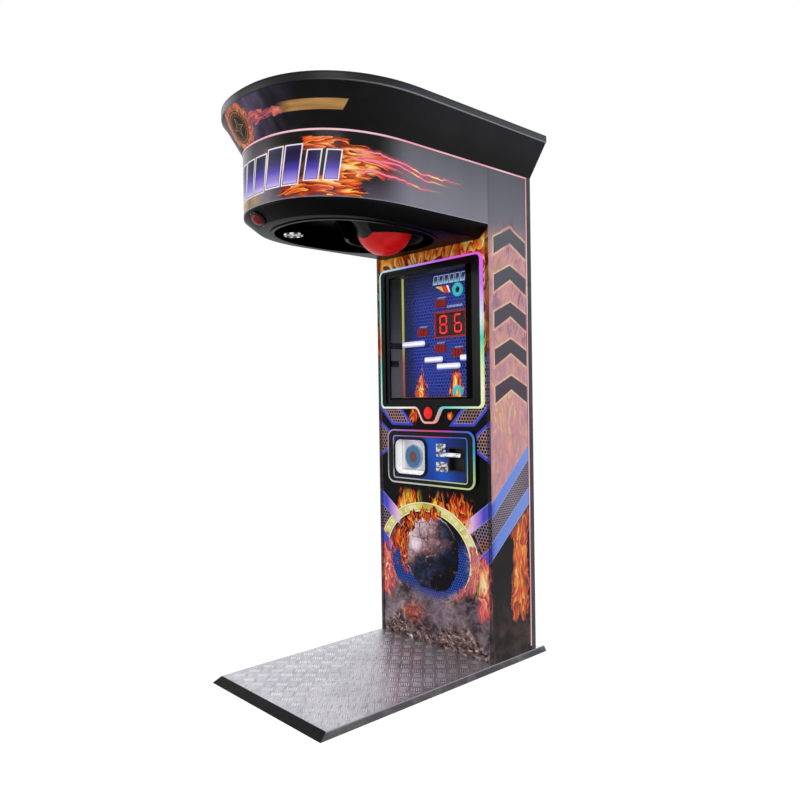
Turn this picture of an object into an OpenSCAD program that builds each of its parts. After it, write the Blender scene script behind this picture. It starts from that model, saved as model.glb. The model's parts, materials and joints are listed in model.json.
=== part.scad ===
// Punch-ball boxing machine: a column on a tread platform, a cantilevered
// canopy with a flared crown, and a ball on a swinging arm that is caught
// in a moulded tray under the canopy. Millimetres, +Z up. The player stands
// at -Y, the back door is at +Y. The origin is on the floor, midway between
// the front of the crown and the back of the platform.

/* [Platform] */
// Width over the side ramps
plat_w = 710; // [704:1:820]
// Length from the toe of the front ramp to the back edge
plat_l = 1219; // [1100:1:1400]
// Height of the tread surface above the floor
plat_h = 22; // [16:1:40]
// Run of the front ramp
ramp_run = 34; // [16:1:80]
// Run of each side ramp
ramp_side_run = 13; // [6:1:16]
// Thickness of the tread plate
tread_t = 3; // [2:0.5:6]
// Thickness of the rubber floor pads
pad_t = 2; // [1:0.5:5]
// Width of the bars of the platform frame
bar_w = 30; // [15:1:60]

/* [Column] */
// Width over the side panels
col_w = 684; // [672:1:740]
// Depth from the front edges to the back
col_d = 280; // [264:1:320]
// Platform left free behind the column
rear_ledge = 58; // [20:1:120]
// Thickness of the side panels
side_t = 18; // [15:1:18]
// Thickness of the front panel
front_t = 12; // [6:1:18]
// Set-back of the front panel behind the side panels' edges
front_recess = 2; // [1:0.5:6]
// Depth of the steel posts behind the side panels
post_d = 27; // [24:1:40]
// Width of the rear posts
post_w = 48; // [40:1:60]
// Section of the steel tubes in the column
tube_s = 30; // [20:1:40]
// Height of the base and top tubes of the column
ring_h = 40; // [25:1:60]
// Thickness of the black edge trims
trim_t = 2; // [1:0.5:3]
// Room kept free round the display, beside it and above it
disp_clear = 3; // [2:1:12]

/* [Canopy] */
// Height of the canopy's underside above the floor
under_z = 1755; // [1740:1:1900]
// Height of the lower shell, from the underside to the band
shell_h = 51; // [40:1:70]
// Vertical lip at the top of the lower shell
shell_lip = 10; // [4:1:20]
// Inward run of the chamfer round the lower shell
chamfer_run = 48; // [30:1:56]
// Height of the printed band
band_h = 225; // [210:1:300]
// Thickness of the band
band_t = 12; // [9:1:15]
// How far the rounded nose reaches in front of the straight sides
nose_len = 422; // [330:1:440]
// Roundness of the nose: 2 is an ellipse, more is squarer
nose_power = 2.26; // [2:0.05:3]
// Width of the light strips round the canopy and down the column
led_w = 10; // [6:1:14]
// Depth of the rebate that holds a light strip
led_d = 6; // [4:1:8]
// How far a light strip stands out of its rebate
led_out = 1; // [0.5:0.1:2]
// Wall of the moulded canopy shells
shell_t = 4; // [3:0.5:5]

/* [Crown] */
// Height of the flared wall
flare_h = 129; // [80:1:200]
// Flare of the crown past the column's sides
flare_side = 88; // [50:1:140]
// Flare of the crown past the nose
flare_front = 70; // [30:1:120]
// Height of the rim
rim_h = 30; // [20:1:50]
// Step between the flared wall and the rim
rim_step = 4; // [2:0.5:6]
// Thickness of the rim
rim_t = 8; // [6.5:0.5:12]
// How far the crown reaches in front of the platform
crown_over = 44; // [0:1:100]
// Place of the seam in the rim, measured back from where the sides turn straight
rim_seam = 62; // [20:1:200]

/* [Ball and tray] */
// Radius of the ball
ball_r = 119; // [100:1:122]
// From the axle to the centre of the ball
arm_len = 317; // [305:1:330]
// Angle of the caught arm, measured up from hanging
caught_deg = 79; // [74:1:84]
// Height of the axle above the canopy's underside
axle_up = 125; // [118:1:135]
// From the nose back to the axle
axle_back = 290; // [270:1:300]
// Radius of the axle
axle_r = 10; // [8:0.5:12]
// Half width of the tray's mouth
tray_hw = 250; // [235:1:262]
// Half length of the tray's mouth
tray_hl = 338; // [325:1:345]
// From the nose back to the front of the tray's mouth
tray_front = 114; // [100:1:125]
// Depth from the mouth to the roof of the tray
tray_depth = 75; // [60:1:80]
// Wall of the tray
tray_t = 3.5; // [2.5:0.5:4.5]
// Room round the ball inside its collar
ball_room = 27; // [25:1:32]
// Half width of the arm's slot
slot_hw = 80; // [76:1:86]
// Radius of the arm's tube
arm_r = 16; // [12:1:20]

/* [Display] */
// Width over the lit edge of the display
disp_w = 624; // [590:1:700]
// Height over the lit edge of the display
disp_h = 639; // [560:1:720]
// Bottom of the display above the floor
disp_z = 1063; // [1050:1:1080]
// How far the display's bezel stands in front of the column
disp_out = 12; // [8:1:20]
// Width of the lit edge
edge_w = 9; // [6:1:12]
// Width of the bezel on each side of the window
win_side = 58; // [56:1:70]
// Height of the bezel above the window
win_over = 39; // [36:1:60]
// Bottom of the window above the bottom of the display
win_up = 41; // [36:1:48]
// Depth of the lit box behind the window
box_d = 82; // [60:1:120]
// Half width of the button's tab at the display's edge
tab_hw = 75; // [70:1:85]
// Depth of the button's tab below the display's edge
tab_drop = 66; // [60:1:70]
// Radius of the start button
start_r = 27; // [20:1:30]
// Centre of the start button below the display's edge
start_drop = 19; // [16:1:22]
// Travel of the start button
start_travel = 4; // [2:0.5:5]

/* [Coin panel] */
// Width over the lit edge of the coin door
coin_w = 532; // [524:1:540]
// Height over the lit edge of the coin door
coin_h = 244; // [240:1:250]
// Bottom of the coin door above the floor
coin_z = 725; // [715:1:735]
// How far the coin door stands in front of the column
coin_out = 16; // [12:1:20]
// Width of the coin door's lit edge
coin_edge = 7; // [5:1:9]
// Width of the reader's dish
dish_w = 186; // [170:1:188]
// Height of the reader's dish
dish_h = 148; // [140:1:150]
// Depth of the reader's dish
dish_d = 28; // [20:1:40]
// Radius of the reader's disc
disc_r = 55; // [40:1:62]
// Width of the coin slot
slot_w = 3.2; // [2.5:0.1:3.8]

/* [Doors] */
// Bottom of the back door above the platform
door_up = 178; // [150:1:240]
// Height of the back door
door_h = 1640; // [1500:1:1660]
// Depth of the back door's folded edge
door_d = 18; // [14:1:22]
// Radius of the hinge barrels
barrel_r = 4.5; // [4:0.5:6]

/* [Hidden] */
$fn = 64;

// Running clearance of pins and buttons, and the gap where loose shapes meet
run = 0.05;
gap = 0.3;
cut = 1;

// Gap round the back door, foot of the column's light strips, and the front panel's reach into the canopy
door_gap = 3;
led_foot = 20;
panel_over = 30;

// Places along the depth
depth = plat_l + crown_over;
y_front = -depth / 2;
y_plat = y_front + crown_over;
y_rear = depth / 2;
y_back = y_rear - rear_ledge;
y_face = y_back - col_d;
y_post = y_back - post_d;
y_nose = y_front + flare_front;
y_straight = y_nose + nose_len;
y_panel = y_face + front_recess;
y_inner = y_panel + front_t;
half_w = max(col_w, disp_w + 2 * (side_t + disp_clear)) / 2;
in_w = half_w - side_t;
tread_hw = max(plat_w / 2 - ramp_side_run, half_w);
deck_hw = tread_hw + ramp_side_run;
y_tread = y_plat + ramp_run;
frame_z = plat_h - tread_t;

// Places up the height; the canopy rises with a taller display
disp_top = disp_z + disp_h;
canopy_z = max(under_z, disp_top + disp_clear);
z_band = canopy_z + shell_h;
z_led = z_band + band_h;
z_crown = z_led + led_w;
z_rim = z_crown + flare_h;
z_top = z_rim + rim_h;

// The swinging arm: its axle and the ball where the tray holds it
axle_y = y_nose + axle_back;
axle_z = canopy_z + axle_up;
ball_y = axle_y + arm_len * sin(caught_deg);
ball_z = axle_z - arm_len * cos(caught_deg);
neck_s = 152;
neck_r = 30;
hub_r = 24;
hub_hw = 45;
flange_r = 34;
flange_t = 8;
cone_r = 26;
cone_h = 14;
collar_r = ball_r + ball_room;
pocket_top = ball_z + ball_r + 6;
roof_z = canopy_z + tray_depth;
tray_y = y_nose + tray_front + tray_hl;
tunnel_y = axle_y - 74;
oval_power = 2.3;
tray_lip = 14;
tray_lip_t = 4;

// Steel of the canopy
rail_x = 165;
rail_w = 30;
rail_h = 40;
block_h = 33;
block_r = 26;
web_hw = 22;
foot_hw = 55;
foot_t = 9;
rail_z = axle_z + block_h;
rail_y = axle_y - 115;
magnet_y = axle_y + 105;
magnet_z = axle_z + 13;
magnet_r = 25;
magnet_h = 26;
magnet_stem = 8;
plate_t = 6;
stub_hw = 15;
bar_top = rail_z + rail_h;
vane_x = 99;
vane_t = 2;
vane_r = 45;
vane_hub = 10;
vane_hub_r = 16;
eye_hw = 8;
eye_h = 26;
eye_gap = 3;

// Display
win_w = disp_w - 2 * win_side;
win_h = disp_h - win_up - win_over;
bezel_y = y_face - disp_out;
win_z = disp_z + win_up;
glass_lap = 8;
glass_t = 4;
glass_hw = win_w / 2 + glass_lap;
glass_z0 = win_z - glass_lap;
glass_z1 = win_z + win_h + glass_lap;
box_y0 = y_panel + glass_t;
box_y1 = box_y0 + box_d;
sheet = 2;
score_t = 3;
score_hw = glass_hw - sheet;
score_y = box_y1 - sheet - score_t;
digits_t = 12;
digits_in = 4;
segment_t = 2;
bar_out = 24;
bar_t = 8;
post_r = 3;
tube_r = 5;
tube_in = 6;
recess_in = 34;
recess_up = 22;
recess_d = 6;
start_z = disp_z - start_drop;
tab_low_hw = 38;
bezel_tube = 3;
start_tube = 18;
start_out = 12;

// Coin door
pane_side = 37;
pane_foot = 22;
pane_head = 27;
coin_y = y_face - coin_out;
coin_back = y_panel - 0.5;
coin_mid = coin_z + coin_h / 2;
hatch_hw = 236;
hatch_hh = 106;
floor_y = coin_y + 3;
dish_x = -118;
dish_z = coin_mid - 1;
entry_x = 80;
entry_z = coin_mid + 38;
entry_s = 56;
lever_z = entry_z - 18;
lever_x = entry_x + 10;
lock_r = 9;
lock_face = 3;
cam_t = 3;
cam_hw = 8;
back_reach = 40;
lock_x = 81;
lock_z = coin_mid - 34;
mech_x0 = 119;
mech_x1 = 208;
mech_z0 = coin_mid - 50;
mech_z1 = coin_mid + 52;
hinge_x = -coin_w / 2 - 4;
hinge_y = coin_y + 10;
led_step = 6;
coin_barrel = 3;
hinge_in = 50;
leaf_t = 2;
cam_reach = lock_z - (coin_mid - hatch_hh) + 8;

// Coin chute and cash box
bin_t = 1.5;
chute_x = (mech_x0 + mech_x1) / 2 - 0.5;
chute_hw = 23;
chute_wide = 30;
chute_drop = 14;
chute_clear = 16;
slide_run = 60;
slide_h = 80;
cash_h = 180;
cash_w = 270;
cash_side = 14;
cash_front = 8;
cash_rear = 12;

// Back door
door_z = plat_h + door_up;
door_hw = half_w - post_w - door_gap;
back_hinge_x = -half_w + post_w + 1;
back_hinge_y = y_back + barrel_r + 0.5;
lock2_x = door_hw - 22;
lock2_z = door_z + door_h / 2;

// Button in the front chamfer of the canopy
chamfer_drop = shell_h - shell_lip;
chamfer_len = norm([chamfer_run, chamfer_drop]);
chamfer_tilt = atan2(chamfer_drop, chamfer_run);
dome_x = -45;
dome_down = 0.56;
dome_r = 24;

// Points of the rounded nose, from the right side round to the left
function nose_points(a, b, steps = 40) = [for (i = [0:steps]) let (t = 180 * i / steps)
    [sign(cos(t)) * a * pow(abs(cos(t)), 2 / nose_power), y_straight - b * pow(sin(t), 2 / nose_power)]];

// Plan of the canopy, grown past its sides and nose, and closed at y_end
function plan(side, front, y_end) = concat([[half_w + side, y_end]],
    nose_points(half_w + side, nose_len + front), [[-half_w - side, y_end]]);

// Oval of the tray's mouth, grown all round
function oval(grow, steps = 72) = [for (i = [0:steps - 1]) let (t = 360 * i / steps)
    [sign(cos(t)) * (tray_hw + grow) * pow(abs(cos(t)), 2 / oval_power),
    tray_y + sign(sin(t)) * (tray_hl + grow) * pow(abs(sin(t)), 2 / oval_power)]];

function at_z(points, z) = [for (p = points) [p[0], p[1], z]];
function unit(v) = v / norm(v);
function wrap(a) = a > 180 ? a - 360 : a < -180 ? a + 360 : a;

// Arc of radius r that rounds the corner b between a and c
function corner(a, b, c, r, steps) = let (u = unit(a - b), w = unit(c - b), half = acos(u * w) / 2,
    mid = b + unit(u + w) * r / sin(half), s = b + u * r / tan(half) - mid, e = b + w * r / tan(half) - mid,
    a0 = atan2(s[1], s[0]), turn = wrap(atan2(e[1], e[0]) - a0))
    [for (i = [0:steps]) mid + r * [cos(a0 + turn * i / steps), sin(a0 + turn * i / steps)]];

// Outline through points whose corners have the given radii
function rounded(points, radii, steps = 6) = let (n = len(points)) [for (i = [0:n - 1])
    each corner(points[(i + n - 1) % n], points[i], points[(i + 1) % n], radii[i], steps)];

function box_points(x0, x1, z0, z1) = [[x0, z0], [x1, z0], [x1, z1], [x0, z1]];

// Outline of the display with the tab round its button, drawn inwards by inset
function display_outline(inset) = let (z0 = disp_z + inset, hw = disp_w / 2 - inset, z1 = disp_top - inset,
    lean = (tab_hw - tab_low_hw) / tab_drop, k = sqrt(1 + lean * lean) - lean, a = tab_hw - inset * k,
    b = tab_low_hw - inset * k, zt = disp_z - tab_drop + inset)
    rounded([[-hw, z0], [-a, z0], [-b, zt], [b, zt], [a, z0], [hw, z0], [hw, z1], [-hw, z1]],
    [26 - inset, 22 + inset, 34 - inset, 34 - inset, 22 + inset, 26 - inset, 30 - inset, 30 - inset]);

// Outline of the coin door, drawn inwards by inset
function coin_outline(inset) = rounded(box_points(-coin_w / 2 + inset, coin_w / 2 - inset,
    coin_z + inset, coin_z + coin_h - inset), [for (i = [0:3]) max(40 - inset, 4)]);

// Corners of the sunk pane in the coin door
function coin_pane() = box_points(-coin_w / 2 + pane_side, coin_w / 2 - pane_side,
    coin_z + pane_foot, coin_z + coin_h - pane_head);

// Outline of the reader's dish, grown all round
function dish_outline(grow) = rounded(box_points(dish_x - dish_w / 2 - grow, dish_x + dish_w / 2 + grow,
    dish_z - dish_h / 2 - grow, dish_z + dish_h / 2 + grow), [for (i = [0:3]) 30 + grow]);

// Solid through equal rings of points; closed joins the last ring to the first
module loft(rings, closed = false) {
    n = len(rings[0]);
    m = len(rings);
    sides = [for (j = [0:m - (closed ? 1 : 2)], i = [0:n - 1]) let (a = j * n + i, b = j * n + (i + 1) % n,
        c = ((j + 1) % m) * n + (i + 1) % n, d = ((j + 1) % m) * n + i) each [[a, b, c], [a, c, d]]];
    caps = closed ? [] : [[for (i = [n - 1:-1:0]) i], [for (i = [0:n - 1]) (m - 1) * n + i]];
    polyhedron([for (r = rings) each r], concat(sides, caps), convexity = 8);
}

// Extrusion of an x-z outline from y0 to y1, and of a y-z outline from x0 to x1
module facing(y0, y1) {
    translate([0, y1, 0]) rotate([90, 0, 0]) linear_extrude(y1 - y0) children();
}
module sideways(x0, x1) {
    translate([x0, 0, 0]) rotate([90, 0, 90]) linear_extrude(x1 - x0) children();
}
module slab(z0, z1) {
    translate([0, 0, z0]) linear_extrude(z1 - z0) children();
}
module block(x0, x1, y0, y1, z0, z1) {
    translate([x0, y0, z0]) cube([x1 - x0, y1 - y0, z1 - z0]);
}
module both_sides() {
    children();
    mirror([1, 0, 0]) children();
}
// Cylinders along y and along x
module rod_y(x, z, r, y0, y1) {
    translate([x, y0, z]) rotate([-90, 0, 0]) cylinder(r = r, h = y1 - y0);
}
module rod_x(y, z, r, x0, x1) {
    translate([x0, y, z]) rotate([0, 90, 0]) cylinder(r = r, h = x1 - x0);
}
module rod_z(x, y, r, z0, z1) {
    translate([x, y, z0]) cylinder(r = r, h = z1 - z0);
}
// Rectangular steel tube along y
module tube_y(x0, x1, z0, z1, y0, y1, wall) {
    difference() {
        block(x0, x1, y0, y1, z0, z1);
        block(x0 + wall, x1 - wall, y0 - cut, y1 + cut, z0 + wall, z1 - wall);
    }
}

// Platform
module platform_frame() color("dimgray") {
    hw = tread_hw;
    cross = 5;
    difference() {
        block(-hw, hw, y_tread, y_rear, pad_t, frame_z);
        block(-hw + bar_w, hw - bar_w, y_tread + bar_w, y_rear - bar_w, pad_t - cut, frame_z + cut);
    }
    pitch = (y_rear - y_tread - bar_w) / (cross + 1);
    for (i = [1:cross])
        block(-hw + bar_w, hw - bar_w, y_tread + i * pitch, y_tread + i * pitch + bar_w, pad_t, frame_z);
}
module floor_pads() color("black") {
    rows = 3;
    inset = 3;
    long = 60;
    margin = 20;
    pitch = (y_rear - y_tread - 2 * margin - long) / (rows - 1);
    for (i = [0:rows - 1])
        both_sides()
            block(tread_hw - bar_w + inset, tread_hw - inset, y_tread + margin + i * pitch,
                y_tread + margin + i * pitch + long, 0, pad_t);
}
module tread_plate() color("silver")
    block(-tread_hw, tread_hw, y_tread, y_rear, frame_z, plat_h);
module ramp_front() color("black") {
    w = deck_hw;
    intersection() {
        sideways(-w, w) polygon([[y_plat, 0], [y_tread, 0], [y_tread, plat_h]]);
        slab(0, plat_h) polygon([[-w, y_plat], [w, y_plat], [tread_hw, y_tread], [-tread_hw, y_tread]]);
    }
}
module ramp_sides() color("darkslategray") {
    w = deck_hw;
    both_sides()
        intersection() {
            facing(y_plat, y_rear) polygon([[tread_hw, 0], [w, 0], [tread_hw, plat_h]]);
            slab(0, plat_h) polygon([[w, y_plat], [w, y_rear], [tread_hw, y_rear], [tread_hw, y_tread]]);
        }
}

// Column
module column_frame() color("dimgray") {
    top_z = rail_z - ring_h;
    for (z = [plat_h, top_z])
        difference() {
            block(-in_w, in_w, y_inner, y_post, z, z + ring_h);
            block(-in_w + tube_s, in_w - tube_s, y_inner + tube_s, y_post - tube_s, z - cut, z + ring_h + cut);
        }
    both_sides() {
        block(in_w - tube_s, in_w, y_inner, y_inner + tube_s, plat_h + ring_h, top_z);
        block(half_w - post_w, half_w, y_post, y_back, plat_h, z_crown);
    }
    back_hinge(0);
}
// Board with a rebate for the light strips along its top and back edges
module side_panel() {
    difference() {
        block(in_w, half_w, y_face, y_post, plat_h, z_crown);
        block(half_w - led_d, half_w + cut, y_face - cut, y_post + cut, z_led, z_crown + cut);
        block(half_w - led_d, half_w + cut, y_post - led_w, y_post + cut, plat_h + led_foot, z_crown + cut);
    }
}
module side_panel_left() color("slategray") mirror([1, 0, 0]) side_panel();
module side_panel_right() color("slategray") side_panel();
module front_panel() color("orangered") {
    difference() {
        block(-in_w, in_w, y_panel, y_inner, plat_h, canopy_z + panel_over);
        block(-glass_hw, glass_hw, y_panel - cut, y_inner + cut, glass_z0, glass_z1);
        block(-hatch_hw, hatch_hw, y_panel - cut, y_inner + cut, coin_mid - hatch_hh, coin_mid + hatch_hh);
        rod_y(0, start_z, start_r + bezel_tube + gap, y_panel - cut, y_inner + cut);
    }
    coin_hinge(0);
}
module edge_trims() color("black") {
    r = trim_t * 0.6;
    both_sides()
        slab(plat_h, z_band)
            polygon(rounded([[in_w, y_face - trim_t], [half_w, y_face - trim_t], [half_w, y_face], [in_w, y_face]],
                [r, r, 0.1, 0.1], 4));
}
module back_panels() color("dimgray") {
    hw = half_w - post_w;
    skin = 4;
    block(-hw, hw, y_back - skin, y_back, door_z + door_h + door_gap, z_crown);
    difference() {
        block(-hw, hw, y_back - skin, y_back, plat_h, door_z - door_gap);
        block(inlet_x - inlet_w / 2 - gap, inlet_x + inlet_w / 2 + gap, y_back - skin - cut, y_back + cut,
            inlet_z - inlet_h / 2 - gap, inlet_z + inlet_h / 2 + gap);
    }
}
// Barrels, leaves and pin of a hinge; side 0 is the fixed part, side 1 turns
module hinge_part(side, x, y, z0, z1, knuckles, r, pin_r, leaf_x, leaf_y0, leaf_y1) {
    pitch = (z1 - z0) / knuckles;
    for (i = [0:knuckles - 1])
        if (i % 2 == side) {
            za = z0 + i * pitch + (i == 0 ? 0 : gap / 2);
            zb = z0 + (i + 1) * pitch - (i == knuckles - 1 ? 0 : gap / 2);
            difference() {
                union() {
                    rod_z(x, y, r, za, zb);
                    block(min(x, leaf_x), max(x, leaf_x), leaf_y0, leaf_y1, za, zb);
                }
                if (side == 1) rod_z(x, y, pin_r + run, za - cut, zb + cut);
            }
        }
    if (side == 0) rod_z(x, y, pin_r, z0, z1);
}
module coin_hinge(side) {
    leaf = side == 0 ? hinge_x - 10 : -coin_w / 2 + 1;
    y1 = side == 0 ? y_panel : hinge_y + leaf_t;
    hinge_part(side, hinge_x, hinge_y, coin_z + hinge_in, coin_z + coin_h - hinge_in, 5, coin_barrel,
        coin_barrel / 2, leaf, hinge_y, y1);
}
module back_hinge(side) {
    long = 100;
    first = door_z + 120;
    for (z = [first, door_z + (door_h - long) / 2, door_z + door_h - 120 - long])
        hinge_part(side, back_hinge_x, back_hinge_y, z, z + long, 5, barrel_r, barrel_r * 0.55,
            back_hinge_x + (side == 0 ? -24 : 26), y_back, y_back + leaf_t);
}
module back_door() color("dimgray") {
    skin = 1.5;
    louvres = 7;
    louvre_hw = 90;
    louvre_h = 6;
    louvre_pitch = 16;
    difference() {
        block(-door_hw, door_hw, y_back - door_d, y_back, door_z, door_z + door_h);
        block(-door_hw + skin, door_hw - skin, y_back - door_d - cut, y_back - skin,
            door_z + skin, door_z + door_h - skin);
        for (i = [0:louvres - 1], z = [door_z + 90, door_z + door_h - 190])
            translate([0, 0, z + i * louvre_pitch])
                block(-louvre_hw, louvre_hw, y_back - skin - cut, y_back + cut, 0, louvre_h);
        rod_y(lock2_x, lock2_z, lock_r + run, y_back - skin - cut, y_back + cut);
    }
    difference() {
        rod_y(lock2_x, lock2_z, lock_r + 3, y_back - door_d, y_back - skin);
        rod_y(lock2_x, lock2_z, lock_r + run, y_back - door_d - cut, y_back);
    }
    back_hinge(1);
}
// Cam lock: barrel, round face and a tongue that turns behind the frame
module cam_lock(face_y, out, cam_y, r, reach, aim) {
    y0 = min(face_y, cam_y);
    y1 = max(face_y, cam_y);
    rod_y(0, 0, r, y0, y1);
    difference() {
        rod_y(0, 0, r + 4, min(face_y, face_y + out), max(face_y, face_y + out));
        block(-0.8, 0.8, face_y + out * 0.4 - (out > 0 ? 0 : 4), face_y + out * 0.4 + (out > 0 ? 4 : 0), -5, 5);
    }
    cam_end = cam_y + cam_t * sign(cam_y - face_y);
    rotate([0, aim, 0])
        facing(min(cam_y, cam_end), max(cam_y, cam_end))
            polygon(rounded([[-r, -cam_hw], [reach, -cam_hw], [reach, cam_hw], [-r, cam_hw]], [6, 3, 3, 6], 4));
}
module back_lock() color("silver")
    translate([lock2_x, 0, lock2_z]) cam_lock(y_back, lock_face, y_post - 0.5, lock_r, back_reach, 90);
module column_leds() color("pink")
    both_sides()
        block(half_w - led_d, half_w + led_out, y_post - led_w, y_post, plat_h + led_foot, z_led);

// Display
module display_bezel() color([0.07, 0.07, 0.08]) {
    hw = disp_w / 2 - recess_in;
    difference() {
        facing(bezel_y, y_panel) polygon(display_outline(edge_w));
        facing(bezel_y - cut, bezel_y + recess_d)
            polygon(rounded(box_points(-hw, hw, disp_z + recess_up, disp_top - recess_up), [12, 12, 12, 12]));
        facing(bezel_y - cut, y_panel + cut)
            polygon(rounded(box_points(-win_w / 2, win_w / 2, win_z, win_z + win_h), [6, 6, 6, 6]));
        rod_y(0, start_z, start_r + bezel_tube + gap, bezel_y - cut, y_panel + cut);
    }
}
module display_led() color("violet")
    facing(bezel_y, y_panel)
        difference() {
            polygon(display_outline(0));
            polygon(display_outline(edge_w));
        }
module display_glass() color([0.8, 0.9, 1, 0.3])
    block(-glass_hw, glass_hw, y_panel, box_y0, glass_z0, glass_z1);
module display_box() color("gray")
    difference() {
        block(-glass_hw, glass_hw, box_y0, box_y1, glass_z0, glass_z1);
        block(-score_hw, score_hw, box_y0 - cut, box_y1 - sheet, glass_z0 + sheet, glass_z1 - sheet);
    }
module score_panel() color("navy")
    block(-score_hw, score_hw, score_y, score_y + score_t, glass_z0 + sheet, glass_z1 - sheet);
// One display module: a frame with a window that shows seven-segment digits
module digit_module(x, z, w, h, digits) {
    rim = w * 0.04;
    floor_at = score_y - digits_t + digits_in;
    difference() {
        block(x - w / 2, x + w / 2, score_y - digits_t, score_y, z - h / 2, z + h / 2);
        block(x - w / 2 + rim, x + w / 2 - rim, score_y - digits_t - cut, floor_at,
            z - h / 2 + rim, z + h / 2 - rim);
    }
    pitch = (w - 2 * rim) / digits;
    for (i = [0:digits - 1])
        translate([x + (i - (digits - 1) / 2) * pitch, floor_at, z])
            seven_segment(pitch * 0.52, (h - 2 * rim) * 0.8, segment_t);
}
// Raised bars of a figure 8
module seven_segment(w, h, t) {
    b = w * 0.17;
    for (k = [-1:1])
        block(-w / 2 + b, w / 2 - b, -t, 0, k * (h - b) / 2 - b / 2, k * (h - b) / 2 + b / 2);
    for (s = [-1, 1], k = [-1, 1])
        block(s * (w - b) / 2 - b / 2, s * (w - b) / 2 + b / 2, -t, 0,
            k * h / 4 - h / 4 + b * 0.7, k * h / 4 + h / 4 - b * 0.7);
}
// Place on the score panel, as shares of the window's width from its middle and of its height
function on_panel(across, up) = [across * win_w, win_z + up * win_h];
// The large score and four small counters
module score_displays() color("darkred") {
    p = on_panel(0.118, 0.59);
    digit_module(p[0], p[1], 0.378 * win_w, 0.211 * win_h, 2);
    for (at = [[0, 0.76], [-0.232, 0.544], [-0.016, 0.404], [0.189, 0.361]]) {
        q = on_panel(at[0], at[1]);
        digit_module(q[0], q[1], 0.114 * win_w, 0.0644 * win_h, 3);
    }
}
// Ring lamps on the panel, and light bars that stand in front of it on posts
module panel_lamps() color("turquoise") {
    r = 0.059 * win_w;
    k = r / 30;
    bar_h = 0.0447 * win_h;
    difference() {
        for (at = [[0.193, 0.8515], [0.181, 0.0537]]) {
            p = on_panel(at[0], at[1]);
            translate([p[0], score_y, p[1]]) rotate([90, 0, 0])
                rotate_extrude() scale([k, 1]) polygon([[14, 0], [30, 0], [30, 4], [27, 8], [17, 8], [14, 4]]);
        }
        block(0, glass_hw, score_y - bar_out, score_y + cut, glass_z0, win_z + 0.0322 * win_h);
    }
    for (bar = [[-0.465, -0.189, 0.4526], [-0.177, 0.03, 0.3148], [-0.026, 0.236, 0.2576],
            [0.252, 0.354, 0.3166]]) {
        a = on_panel(bar[0], bar[2]);
        b = on_panel(bar[1], bar[2]);
        facing(score_y - bar_out, score_y - bar_out + bar_t)
            polygon(rounded(box_points(a[0], b[0], a[1] - bar_h / 2, a[1] + bar_h / 2),
                [for (i = [0:3]) bar_h * 0.2], 5));
        for (x = [a[0] + bar_h * 0.56, b[0] - bar_h * 0.56])
            rod_y(x, a[1], post_r, score_y - bar_out + bar_t, score_y);
    }
}
// Light strips up both corners of the box and along its foot
module light_tubes() color("khaki") {
    r = tube_r;
    x = glass_hw - sheet - r - tube_in;
    y = score_y - r;
    z0 = glass_z0 + sheet + r + tube_in;
    z1 = glass_z1 - sheet;
    both_sides() {
        rod_z(x, y, r, z0, z1);
        translate([x, y, z0]) sphere(r);
    }
    rod_x(y, z0, r, -x, x);
}
module start_bezel() color("silver") {
    r = start_r + bezel_tube;
    difference() {
        union() {
            rod_y(0, start_z, r, bezel_y, y_inner + start_tube);
            translate([0, bezel_y, start_z]) rotate([90, 0, 0]) cylinder(r1 = r + 3, r2 = r + 1, h = 4);
            rod_y(0, start_z, r + 6, y_inner, y_inner + 6);
        }
        rod_y(0, start_z, start_r + run, bezel_y - 5, y_inner + start_tube - bezel_tube - cut);
    }
}
module start_button() color("red")
    intersection() {
        rod_y(0, start_z, start_r, bezel_y - start_out,
            y_inner + start_tube - 2 * bezel_tube - start_travel + cut);
        translate([0, bezel_y + start_r, start_z]) sphere(start_r + start_out + cut, $fn = 96);
    }

// Coin door
module coin_door() color([0.08, 0.08, 0.09]) {
    difference() {
        union() {
            facing(coin_y, coin_back) polygon(coin_outline(coin_edge));
            facing(coin_y + led_step, coin_back) polygon(coin_outline(0));
        }
        facing(coin_y - cut, floor_y)
            polygon(rounded(coin_pane(), [14, 14, 14, 14]));
        facing(coin_y - cut, coin_back + cut) polygon(dish_outline(3));
        rod_y(lock_x, lock_z, lock_r + run, coin_y - cut, coin_back + cut);
        block(mech_x0, mech_x1, coin_y - cut, coin_back + cut, mech_z0, mech_z1);
        block(entry_x - slot_w / 2 - 1, entry_x + slot_w / 2 + 1, coin_y - cut, coin_back + cut,
            entry_z - 7, entry_z + 21);
    }
    coin_hinge(1);
}
module coin_leds() color("cyan") {
    facing(coin_y, coin_y + led_step)
        difference() {
            polygon(coin_outline(0));
            polygon(coin_outline(coin_edge));
        }
    line = 4;
    inner = coin_pane();
    facing(coin_y, floor_y)
        difference() {
            polygon(rounded(inner, [14, 14, 14, 14]));
            polygon(rounded([for (p = inner) [p[0] - sign(p[0]) * line, p[1] - sign(p[1] - coin_mid) * line]],
                [10, 10, 10, 10]));
        }
}
module reader_bezel() color("black")
    difference() {
        facing(coin_y - 2, floor_y) polygon(dish_outline(14));
        facing(coin_y - 2 - cut, floor_y + cut) polygon(dish_outline(3));
    }
module reader_dish() color("white")
    difference() {
        facing(coin_y, coin_y + dish_d) polygon(dish_outline(3));
        facing(coin_y - cut, coin_y + dish_d - 3) polygon(dish_outline(0));
    }
module reader_disc() color("teal")
    translate([dish_x, coin_y + dish_d - 3, dish_z]) rotate([90, 0, 0])
        rotate_extrude() polygon([[0, 0], [disc_r, 0], [disc_r, 3], [disc_r - 3, 5], [disc_r - 8, 5],
            [disc_r - 9, 3.5], [disc_r - 22, 3.5], [disc_r - 24, 5], [0, 5]]);
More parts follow.
